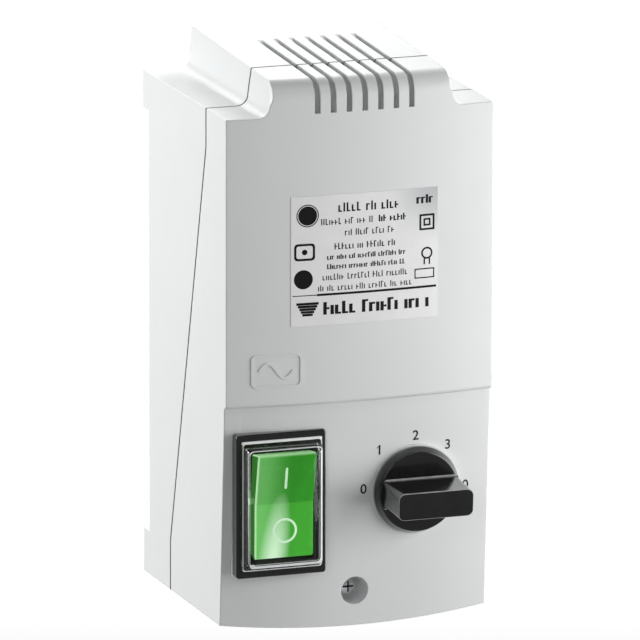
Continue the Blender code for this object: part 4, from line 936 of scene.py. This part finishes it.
def build_dial(finish):
    """The five position numbers, printed on the bowed panel."""
    bm = bmesh.new()
    for mark, x, z in DIAL_MARKS:
        text = bpy.data.curves.new(f"dial_{mark}", "FONT")
        text.body = mark
        text.size = DIAL_HEIGHT / DIGIT_SHARE
        text.align_x = "CENTER"
        text.extrude = 0.00003
        text.offset = 0.00006
        text.resolution_u = 6
        holder = add_object(f"dial_{mark}", text)
        graph = bpy.context.evaluated_depsgraph_get()
        mesh = bpy.data.meshes.new_from_object(holder.evaluated_get(graph))
        foot = z - DIAL_HEIGHT / 2
        if mark == "1":
            flag = [(x + a * DIAL_HEIGHT, foot + b * DIAL_HEIGHT) for a, b in ONE_FLAG]
            plate(bm, flag, on_panel, 0.0, 0.00005)
        for v in mesh.vertices:
            v.co = on_panel(x + v.co.x, foot + v.co.y, 0.00003 + v.co.z)
        bm.from_mesh(mesh)
        bpy.data.objects.remove(holder)
        bpy.data.meshes.remove(mesh)
    bmesh.ops.remove_doubles(bm, verts=bm.verts, dist=1e-7)
    return new_object(bm, "dial_numbers", finish)


def build_sign(finish):
    """A low moulded sign: a plain alternating wave in a rounded border, standing for the maker's own."""
    bm = bmesh.new()
    centre, half_a, half_b, border = (-0.0350, 0.0011), 0.0102, 0.0066, 0.0008
    lifts = (-0.0002, 0.00035)
    outer = rounded(half_a, half_b, 0.0022, 6, centre)
    inner = rounded(half_a - border, half_b - border, 0.0015, 6, centre)
    band(bm, outer, inner, on_front, *lifts)
    steps, reach, swing, half = 40, 0.0068, 0.0030, 0.00055
    upper, lower = [], []
    for i in range(steps + 1):
        share = i / steps
        x = centre[0] - reach + 2 * reach * share
        z = centre[1] + swing * sin(tau * share)
        slope = swing * tau / (2 * reach) * cos(tau * share)
        length = hypot(1.0, slope)
        upper.append((x - half * slope / length, z + half / length))
        lower.append((x + half * slope / length, z - half / length))
    plate(bm, upper + lower[::-1], on_front, *lifts)
    return new_object(bm, "moulded_sign", finish)


# ---- Materials
EVEN = (1.0, 1.0, 1.0)
WHITE = (1.0, 1.0, 1.0)


def feed(tree, socket, value):
    """Links an output to a socket, or sets the socket's own number, vector or colour."""
    if isinstance(value, bpy.types.NodeSocket):
        tree.links.new(value, socket)
    elif isinstance(value, tuple) and len(value) < len(socket.default_value):
        socket.default_value = (*value, 1.0)
    else:
        socket.default_value = value


def add(tree, kind, inputs, **settings):
    """A new node with its settings and inputs."""
    made = tree.nodes.new(f"ShaderNode{kind}")
    for name, value in settings.items():
        setattr(made, name, value)
    for name, value in inputs.items():
        feed(tree, made.inputs[name], value)
    return made


def dress(made, inputs):
    """Sets or links the sockets of a material's main shader."""
    for name, value in inputs.items():
        feed(made.node_tree, made.node_tree.nodes["Principled BSDF"].inputs[name], value)
    return made


def material(name, colour, roughness, metallic=0.0):
    made = bpy.data.materials.new(name)
    made.use_nodes = True
    return dress(made, {"Base Color": colour, "Roughness": roughness, "Metallic": metallic})


def object_place(tree):
    return add(tree, "TexCoord", {}).outputs["Object"]


def noise(tree, scale, detail, stretch):
    """Noise in the object's own metres."""
    mapping = add(tree, "Mapping", {"Scale": stretch, "Vector": object_place(tree)})
    inputs = {"Scale": scale, "Detail": detail, "Vector": mapping.outputs["Vector"]}
    return add(tree, "TexNoise", inputs).outputs["Fac"]


def ramp(tree, source, low, high, start=0.3, end=0.7):
    """Maps a 0 to 1 value between two numbers or two colours."""
    made = add(tree, "ValToRGB", {"Fac": source})
    for element, position, value in zip(made.color_ramp.elements, (start, end), (low, high)):
        element.position = position
        element.color = (value, value, value, 1.0) if isinstance(value, float) else (*value, 1.0)
    return made.outputs["Color"]


def ease(tree, value, start, end, low=0.0, kind="SMOOTHSTEP"):
    """Runs from low at start to 1 at end."""
    inputs = {"From Min": start, "From Max": end, "To Min": low, "Value": value}
    return add(tree, "MapRange", inputs, interpolation_type=kind).outputs["Result"]


def mix_colours(tree, factor, first, second):
    inputs = {"Factor": factor, "A": first, "B": second}
    return add(tree, "Mix", inputs, data_type="RGBA").outputs["Result"]


def vary(made, spread, rough_low, rough_high, scale, bump=None, stretch=EVEN):
    """Gives a material uneven colour and gloss, and a bump as (scale, strength, distance)."""
    tree = made.node_tree
    colour = tree.nodes["Principled BSDF"].inputs["Base Color"].default_value[:3]
    dark = tuple(c * (1 - spread) for c in colour)
    light = tuple(min(c * (1 + spread), 1.0) for c in colour)
    broad, fine = noise(tree, scale, 3.0, stretch), noise(tree, scale * 6, 3.0, stretch)
    inputs = {"Base Color": ramp(tree, broad, dark, light)}
    inputs["Roughness"] = ramp(tree, fine, rough_low, rough_high)
    if bump:
        grain, strength, distance = bump
        height = noise(tree, grain, 2.0, stretch)
        relief = add(tree, "Bump", {"Strength": strength, "Distance": distance, "Height": height})
        inputs["Normal"] = relief.outputs["Normal"]
    return dress(made, inputs)


def lit_green():
    """Translucent green, glowing from the lamp behind it, with the lamp's glow low down on the left; paler on the
    left and darker on the upper half, with painted highlights along the top and left edges.
    """
    made = vary(material("lit_green", (0.03, 0.25, 0.018), 0.25), 0.04, 0.2, 0.3, 50.0)
    tree = made.node_tree
    at = object_place(tree)
    apart = add(tree, "SeparateXYZ", {"Vector": at}).outputs
    crease = ROCKER_PIVOT.z
    across = ease(tree, apart["X"], SWITCH_X + 0.004, SWITCH_X - 0.010)
    upper = mix_colours(tree, across, (0.018, 0.17, 0.010), (0.13, 0.38, 0.11))
    lower = mix_colours(tree, across, (0.045, 0.29, 0.025), (0.17, 0.50, 0.14))
    body = mix_colours(tree, ease(tree, apart["Z"], crease + 0.0004, crease - 0.0004), upper, lower)
    flame = {
        "Location": (SWITCH_X - 0.0040, ROCKER_PIVOT.y, crease - 0.0245),
        "Rotation": (0.0, radians(8), 0.0),
        "Scale": (0.0066, 0.03, 0.031),
        "Vector": at,
    }
    mapping = add(tree, "Mapping", flame, vector_type="TEXTURE")
    reach = add(tree, "VectorMath", {0: mapping.outputs["Vector"]}, operation="LENGTH")
    glow = ramp(tree, reach.outputs["Value"], 1.0, 0.0, 0.2, 1.0)
    lit = mix_colours(tree, glow, body, (0.80, 0.98, 0.78))
    left, top = SWITCH_X + ROCKER_SHIFT - ROCKER_HALF[0], crease + ROCKER_HALF[1]
    # pale strips along the left and top edges: painted highlights
    for axis, start, end in (("X", left + 0.0011, left + 0.0003), ("Z", top - 0.0020, top - 0.0004)):
        lit = mix_colours(tree, ease(tree, apart[axis], start, end), lit, (0.55, 0.80, 0.50))
    return dress(made, {"Specular IOR Level": 0.3, "Emission Color": lit, "Emission Strength": 0.9})


# a darker, dimmer copy of the green: painted shade for the rocker's sides
def shaded_flank():
    made = vary(material("green_flank_painted_shade", (0.02, 0.12, 0.015), 0.3), 0.1, 0.25, 0.35, 50.0)
    return dress(made, {"Emission Color": (0.06, 0.30, 0.04), "Emission Strength": 0.5})


def lit_mark():
    made = vary(material("white_mark", (0.80, 0.90, 0.80), 0.4), 0.02, 0.35, 0.45, 90.0)
    return dress(made, {"Emission Color": (0.62, 0.95, 0.60), "Emission Strength": 0.5})


def painted_edge_highlight():
    """A whitish painted highlight, with a little glow, for the lit roundings of the clear cap."""
    made = vary(material("cap_edge_highlights", (0.85, 0.88, 0.87), 0.2), 0.03, 0.16, 0.26, 300.0)
    return dress(made, {"Alpha": 0.8, "Emission Color": WHITE, "Emission Strength": 0.15})


def silver_film():
    """Label film, a little darker towards its upper right corner."""
    made = vary(material("label_silver", (0.79, 0.795, 0.79), 0.35), 0.03, 0.3, 0.4, 120.0)
    tree = made.node_tree
    even = tree.nodes["Principled BSDF"].inputs["Base Color"].links[0].from_socket
    corner = (LABEL_HIGH.x, LABEL_LOW.y, LABEL_HIGH.z)
    away = add(tree, "VectorMath", {0: object_place(tree), 1: corner}, operation="DISTANCE")
    near = ease(tree, away.outputs["Value"], 0.024, 0.0)
    return dress(made, {"Base Color": mix_colours(tree, near, even, (0.46, 0.47, 0.48))})


def clear_finish():
    """Clear thin plastic: what is behind shows straight through, and the surface reflects by angle."""
    made = bpy.data.materials.new("clear_cap")
    made.use_nodes = True
    tree = made.node_tree
    tree.nodes.clear()
    clear = add(tree, "BsdfTransparent", {"Color": (0.96, 0.975, 0.965)})
    gloss = add(tree, "BsdfGlossy", {"Roughness": 0.06})
    fresnel = add(tree, "Fresnel", {"IOR": 1.28})
    inputs = {"Fac": fresnel.outputs["Fac"], 1: clear.outputs["BSDF"], 2: gloss.outputs["BSDF"]}
    add(tree, "OutputMaterial", {"Surface": add(tree, "MixShader", inputs).outputs["Shader"]})
    return made


GRAIN = (5200.0, 0.10, 0.00006)

# key: name, colour, roughness, metallic, spread, roughness range, noise scale, bump
PLAIN_LOOKS = {
    "housing": ("moulded_grey", (0.70, 0.715, 0.715), 0.4, 0.0, 0.012, 0.36, 0.44, 30.0, GRAIN),
    "black": ("satin_black", (0.005, 0.005, 0.006), 0.22, 0.0, 0.1, 0.18, 0.26, 60.0, (3000.0, 0.05, 0.00005)),
    "knob": ("gloss_black", (0.005, 0.005, 0.006), 0.22, 0.0, 0.1, 0.18, 0.26, 70.0, (2500.0, 0.05, 0.00005)),
    # a darker grey for the grooves' faces: painted shade in the grooves
    "groove": ("groove_grey", (0.50, 0.51, 0.51), 0.6, 0.0, 0.08, 0.5, 0.65, 300.0, GRAIN),
    # painted glints on the knob's edges
    "rubbed": ("rubbed_edge", (0.34, 0.34, 0.34), 0.3, 0.0, 0.25, 0.22, 0.4, 500.0, None),
    "print": ("print_black", (0.006, 0.006, 0.007), 0.5, 0.0, 0.1, 0.45, 0.55, 200.0, None),
    "dial": ("dial_print", (0.012, 0.012, 0.012), 0.5, 0.0, 0.1, 0.45, 0.55, 200.0, None),
    "steel": ("zinc_plate", (0.86, 0.87, 0.88), 0.4, 0.25, 0.05, 0.4, 0.5, 400.0, (2500.0, 0.1, 0.00003)),
    "rubber": ("black_rubber", (0.03, 0.03, 0.03), 0.7, 0.0, 0.1, 0.6, 0.8, 150.0, (1800.0, 0.2, 0.0001)),
}
finishes = {key: vary(material(*look[:4]), *look[4:]) for key, look in PLAIN_LOOKS.items()}
finishes |= {"green": lit_green(), "flank": shaded_flank(), "mark": lit_mark()}
finishes |= {"film": silver_film(), "clear": clear_finish(), "edge": painted_edge_highlight()}
for flat in ("print", "dial"):
    dress(finishes[flat], {"Specular IOR Level": 0.15})
for dark in ("black", "knob"):
    dress(finishes[dark], {"Coat Weight": 1.0, "Coat Roughness": 0.12})

# (slot, colour, roughness, metallic, spread, noise scale, bump, stretch) for the nodes shown as CAD left them
CAD_LOOKS = (
    ("steel_laminations", (0.16, 0.16, 0.17), 0.5, 1.0, 0.25, 40.0, (900.0, 0.5, 0.0002), (1.0, 6.0, 1.0)),
    ("copper_wire", (0.55, 0.19, 0.08), 0.3, 1.0, 0.2, 60.0, (700.0, 0.8, 0.0003), (0.1, 0.1, 4.0)),
    ("coil_tape", (0.75, 0.52, 0.07), 0.35, 0.0, 0.06, 80.0, (300.0, 0.2, 0.0002), (1.0, 1.0, 3.0)),
    ("former_nylon", (0.50, 0.50, 0.45), 0.55, 0.0, 0.06, 90.0, (2000.0, 0.2, 0.0001), EVEN),
    ("white_nylon", (0.72, 0.72, 0.68), 0.45, 0.0, 0.04, 90.0, (2500.0, 0.1, 0.0001), EVEN),
    ("phenolic", (0.20, 0.09, 0.03), 0.5, 0.0, 0.25, 120.0, (900.0, 0.2, 0.0001), (1.0, 5.0, 1.0)),
    ("brass_strip", (0.70, 0.50, 0.22), 0.3, 1.0, 0.1, 200.0, (1500.0, 0.2, 0.00005), (1.0, 6.0, 1.0)),
    ("zinc_steel", (0.62, 0.63, 0.65), 0.3, 1.0, 0.08, 200.0, (2000.0, 0.15, 0.00005), EVEN),
    ("black_plastic", (0.013, 0.013, 0.014), 0.3, 0.0, 0.1, 80.0, (2500.0, 0.08, 0.00005), EVEN),
    ("gasket_rubber", (0.03, 0.03, 0.03), 0.75, 0.0, 0.1, 150.0, (1800.0, 0.2, 0.0001), EVEN),
    ("lamp_glass", (0.85, 0.55, 0.35), 0.1, 0.0, 0.05, 150.0, (1500.0, 0.05, 0.00005), EVEN),
)
# (colour's name, colour, spread) of the leads' insulation
LEADS = (
    ("white", (0.80, 0.80, 0.78), 0.04),
    ("yellow", (0.80, 0.60, 0.05), 0.04),
    ("orange", (0.75, 0.25, 0.03), 0.04),
    ("red", (0.55, 0.03, 0.02), 0.04),
    ("brown", (0.16, 0.06, 0.02), 0.08),
    ("black", (0.01, 0.01, 0.01), 0.1),
    ("blue", (0.02, 0.09, 0.45), 0.06),
    ("grey", (0.30, 0.30, 0.30), 0.06),
)
LEAD_GRAIN = (1200.0, 0.1, 0.00005)
CAD_LOOKS += tuple((f"lead_{name}", c, 0.4, 0.0, spread, 150.0, LEAD_GRAIN, EVEN) for name, c, spread in LEADS)


def dress_cad_nodes():
    looks = {}
    for slot, colour, roughness, metallic, spread, scale, bump, stretch in CAD_LOOKS:
        made = material(f"cad_{slot}", colour, roughness, metallic)
        looks[slot] = vary(made, spread, roughness * 0.85, roughness * 1.15, scale, bump, stretch)
    for part in frame["record"]["subparts"]:
        slot = part["material_slot"]
        if slot in looks:
            mesh = frame["nodes"][part["node"]].data
            mesh.materials.clear()
            mesh.materials.append(looks[slot])


# ---- Assembly
def place(piece, body, slot, *nodes):
    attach(piece, body)
    if nodes:
        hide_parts(*nodes)


def build_model():
    dress_cad_nodes()
    grooves = groove_cutter(finishes["groove"])
    channel = seam_channel()
    place(build_cover(finishes["housing"], grooves, channel), HOUSING, "housing_plastic", "front_cover")
    place(build_base(finishes["housing"], grooves, channel), HOUSING, "housing_plastic", "rear_base")
    place(build_seam_lip(finishes["rubber"], grooves), HOUSING, "gasket_rubber")
    place(build_bezel(finishes["black"]), HOUSING, "black_plastic", "switch_bezel")
    place(build_splash_cap(finishes["clear"], finishes["edge"]), HOUSING, "clear_plastic", "switch_hood")
    place(build_rocker(finishes["green"], finishes["flank"]), "rocker_body", "green_plastic", "rocker")
    place(build_rocker_marks(finishes["mark"]), "rocker_body", "white_nylon")
    place(build_knob(finishes["knob"], finishes["rubbed"]), "knob_body", "knob_plastic", "knob")
    place(build_screw(finishes["steel"]), HOUSING, "zinc_steel", "cover_screw")
    place(build_slot_shade(finishes["print"]), HOUSING, "zinc_steel")
    for label in ("left", "right"):
        piece = build_grommet(f"grommet_{label}", label, finishes["rubber"])
        place(piece, HOUSING, "gasket_rubber", f"cable_grommet_{label}")
    place(build_label_film(finishes["film"]), HOUSING, "label_film", "rating_label")
    place(build_label_print(finishes["print"]), HOUSING, "label_film")
    place(build_dial(finishes["dial"]), HOUSING, "black_plastic")
    place(build_sign(finishes["housing"]), HOUSING, "housing_plastic")
    for helper in helpers:
        bpy.data.objects.remove(helper)


# ---- Camera, light and floor
CAMERA_AZIMUTH = -19.351
CAMERA_ELEVATION = 13.134
CAMERA_ROLL = radians(0.087)
CAMERA_DISTANCE = 4.5
CAMERA_TARGET = Vector((0.001606, -0.050, 0.006856))
CAMERA_LENS = 643.5  # in mm, over a sensor 36 mm wide
FLOOR_DROP = 0.9
FLOOR_HALF = 12.0
WORLD_STRENGTH = 0.06
KEY_AIM = Vector((0.0, -0.105, 0.005))

# (name, aim, distance, azimuth, elevation, width, height, watts)
LIGHTS = (
    ("key_right", KEY_AIM, 0.55, 57, 2, 0.46, 0.46, 3.5),
    ("top_rear", CAMERA_TARGET, 0.9, 180, 35, 0.7, 0.4, 4.0),
    ("top_right", CAMERA_TARGET, 0.8, 125, 32, 0.4, 0.4, 6.5),
    ("side_left", CAMERA_TARGET, 1.2, -120, 15, 0.6, 0.8, 14.0),
    ("strip_front", CAMERA_TARGET, 1.0, -8, 60, 0.8, 0.06, 1.4),
    ("fill_front", CAMERA_TARGET, 1.0, -32, 14, 0.5, 0.5, 1.3),
)


def direction(azimuth, elevation):
    """Towards a place seen from the object: azimuth 0 is straight in front, + is to the right."""
    a, e = radians(azimuth), radians(elevation)
    return Vector((sin(a) * cos(e), -cos(a) * cos(e), sin(e)))


def aim(obj, target, back, roll=0.0):
    """Puts a camera or lamp at an offset from its target, turned to face it."""
    turn = back.to_track_quat("Z", "Y").to_matrix().to_4x4() @ Matrix.Rotation(roll, 4, "Z")
    obj.matrix_world = Matrix.Translation(target + back) @ turn


def build_camera():
    data = bpy.data.cameras.new("camera")
    data.sensor_width = 36.0
    data.lens = CAMERA_LENS
    data.clip_end = 50.0
    camera = add_object("camera", data)
    aim(camera, CAMERA_TARGET, direction(CAMERA_AZIMUTH, CAMERA_ELEVATION) * CAMERA_DISTANCE, CAMERA_ROLL)
    bpy.context.scene.camera = camera


def build_lights():
    for name, target, distance, azimuth, elevation, width, height, power in LIGHTS:
        data = bpy.data.lights.new(name, "AREA")
        data.shape = "RECTANGLE"
        data.size = width
        data.size_y = height
        data.energy = power
        light = add_object(name, data)
        aim(light, target, distance * direction(azimuth, elevation))
        light.visible_camera = False


def build_studio():
    bm = bmesh.new()
    half = FLOOR_HALF
    corners = ((-half, -half), (half, -half), (half, half), (-half, half))
    bm.faces.new([bm.verts.new((x, y, BASE_LOW.z - FLOOR_DROP)) for x, y in corners])
    floor = new_object(bm, "floor", floor_finish())
    world = bpy.data.worlds.new("studio")
    world.use_nodes = True
    background = world.node_tree.nodes["Background"].inputs
    background["Color"].default_value = (*WHITE, 1.0)
    background["Strength"].default_value = WORLD_STRENGTH
    bpy.context.scene.world = world
    build_lights()
    bpy.context.scene.view_settings.view_transform = "Standard"


def floor_finish():
    """Pale paper that glows far from the object, where background lamps would fall on it."""
    made = material("pale_floor", (0.9, 0.9, 0.9), 0.9)
    tree = made.node_tree
    at = object_place(tree)
    reach = add(tree, "VectorMath", {0: at}, operation="LENGTH").outputs["Value"]
    glow = ease(tree, reach, 2.2, 3.6, kind="LINEAR")
    apart = add(tree, "SeparateXYZ", {"Vector": at})
    behind = ease(tree, apart.outputs["Y"], 0.0, 1.6, 0.12, kind="LINEAR")
    both = add(tree, "Math", {0: glow, 1: behind}, operation="MULTIPLY").outputs["Value"]
    inputs = {"Specular IOR Level": 0.0, "Emission Color": WHITE, "Emission Strength": both}
    return dress(made, inputs)


build_camera()
build_model()
build_studio()
